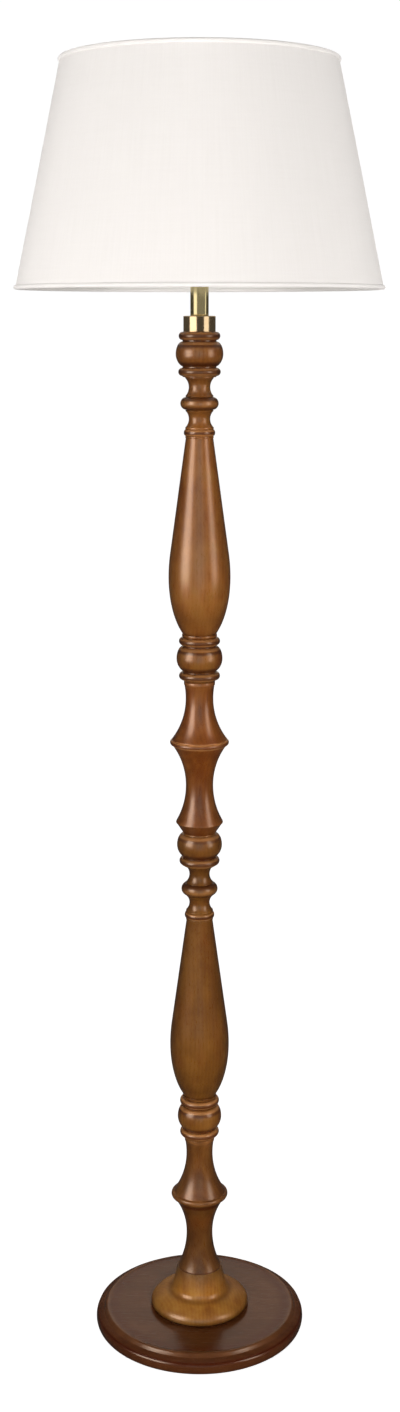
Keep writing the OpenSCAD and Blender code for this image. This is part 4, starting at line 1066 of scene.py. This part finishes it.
# Angles run from the camera round to the right; "sheen" lights show only as reflections
lamps = [
    {"name": "front", "on": "wood", "angle": 2, "distance": 2.7, "height": 1.2,
     "size": (2.0, 1.8), "power": 92, "tone": (1.0, 0.92, 0.80)},
    {"name": "left", "on": "wood", "angle": -54, "distance": 2.4, "height": 1.65,
     "size": (1.4, 2.1), "power": 118, "sheen": True},
    {"name": "right", "on": "wood", "angle": 57, "distance": 2.4, "height": 1.65,
     "size": (0.9, 2.1), "power": 50, "sheen": True},
    {"name": "haze", "on": "wood", "angle": 180, "distance": 2.6, "height": 1.6,
     "size": (1.2, 1.0), "power": 3.2, "sheen": True},
    {"name": "collarLeft", "on": "collar", "angle": -47, "distance": 2.4, "height": 1.6,
     "size": (2.3, 2.0), "power": 25, "sheen": True},
    {"name": "collarRight", "on": "collar", "angle": 51, "distance": 2.4, "height": 1.6,
     "size": (1.6, 2.0), "power": 11, "sheen": True},
    {"name": "riserLeft", "on": "riser", "angle": -54, "distance": 2.4, "height": 1.6,
     "size": (2.0, 2.0), "power": 20, "sheen": True},
    {"name": "riserRight", "on": "riser", "angle": 82, "distance": 2.4, "height": 1.6,
     "size": (0.7, 2.0), "power": 5, "sheen": True},
    {"name": "riserFront", "on": "riser", "angle": 20, "distance": 2.0, "height": 1.4,
     "size": (4.0, 1.6), "power": 4.4, "sheen": True},
    {"name": "back", "on": "wood", "angle": 180, "distance": 2.8, "height": 1.3,
     "size": (2.6, 1.8), "power": 80},
    {"name": "shadeLeft", "on": "shade", "angle": -50, "distance": 2.4, "height": 1.15,
     "size": (1.8, 1.4), "power": 57},
    {"name": "shadeRight", "on": "shade", "angle": 54, "distance": 2.4, "height": 1.15,
     "size": (1.8, 1.4), "power": 50},
    {"name": "shadeBack", "on": "shade", "angle": 180, "distance": 2.6, "height": 1.3,
     "size": (2.0, 1.4), "power": 72},
    {"name": "shadeBelow", "on": "shade", "angle": 0, "distance": 0.5, "height": 0.3,
     "size": (2.0, 2.0), "power": 7, "aim": (0, 0, 1.4)},
    {"name": "top", "on": None, "angle": 0, "distance": 0.4, "height": 3.4,
     "size": (1.6, 1.6), "power": 10, "aim": (0, 0, 0)},
]
for lamp in lamps:
    a = math.radians(lamp["angle"])
    place = Vector((lamp["distance"] * math.sin(a), -lamp["distance"] * math.cos(a), lamp["height"]))
    sheen = lamp.get("sheen", False)
    data = bpy.data.lights.new(lamp["name"] + "Light", "AREA")
    data.shape = "RECTANGLE"
    data.size, data.size_y = lamp["size"]
    data.energy = lamp["power"]
    data.color = lamp.get("tone", studio["sheenTone" if sheen and lamp["on"] == "wood" else "lightTone"])
    obj = bpy.data.objects.new(lamp["name"] + "Light", data)
    obj.location = place
    aim = Vector(lamp.get("aim", (0, 0, lamp["height"])))
    obj.rotation_euler = (aim - place).to_track_quat("-Z", "Y").to_euler()
    obj.visible_camera = False
    obj.visible_glossy = sheen
    obj.visible_diffuse = not sheen
    if lamp["on"]:
        obj.light_linking.receiver_collection = groups[lamp["on"]]
    bpy.context.scene.collection.objects.link(obj)


# The floor and the tent only show to the camera; the lamp is lit by the lights and the surroundings
def stagePiece(name, bm, tone, roughness, glow):
    obj = meshObject(bm, name)
    material, tree, shader = blank(name + "Paint")
    coords = tree.nodes.new("ShaderNodeTexCoord").outputs["Object"]
    darker = tuple(c * 0.98 for c in tone)
    tree.links.new(mixed(tree, noise(tree, coords, 40, 3), tone, darker), shader.inputs["Base Color"])
    shader.inputs["Roughness"].default_value = roughness
    shader.inputs["Emission Color"].default_value = (1, 1, 1, 1)
    shader.inputs["Emission Strength"].default_value = glow
    dress(obj, material)
    obj.visible_diffuse = False
    obj.visible_glossy = False
    obj.visible_transmission = False
    obj.visible_shadow = False


bm = bmesh.new()
bmesh.ops.create_grid(bm, x_segments=1, y_segments=1, size=studio["floorSize"] / 2)
stagePiece("floor", bm, studio["floorTone"], 0.95, studio["floorGlow"])
bm = bmesh.new()
bmesh.ops.create_cone(bm, cap_ends=True, segments=64, radius1=studio["tentRadius"],
                      radius2=studio["tentRadius"], depth=studio["tentHeight"])
bmesh.ops.translate(bm, verts=bm.verts, vec=(0, 0, studio["tentHeight"] / 2 - 1))
stagePiece("tent", bm, (0.0, 0.0, 0.0), 1.0, studio["tentGlow"])

view = bpy.context.scene.view_settings
view.view_transform = "Standard"
view.look = "None"
view.exposure = 0.0
print("studio lit")
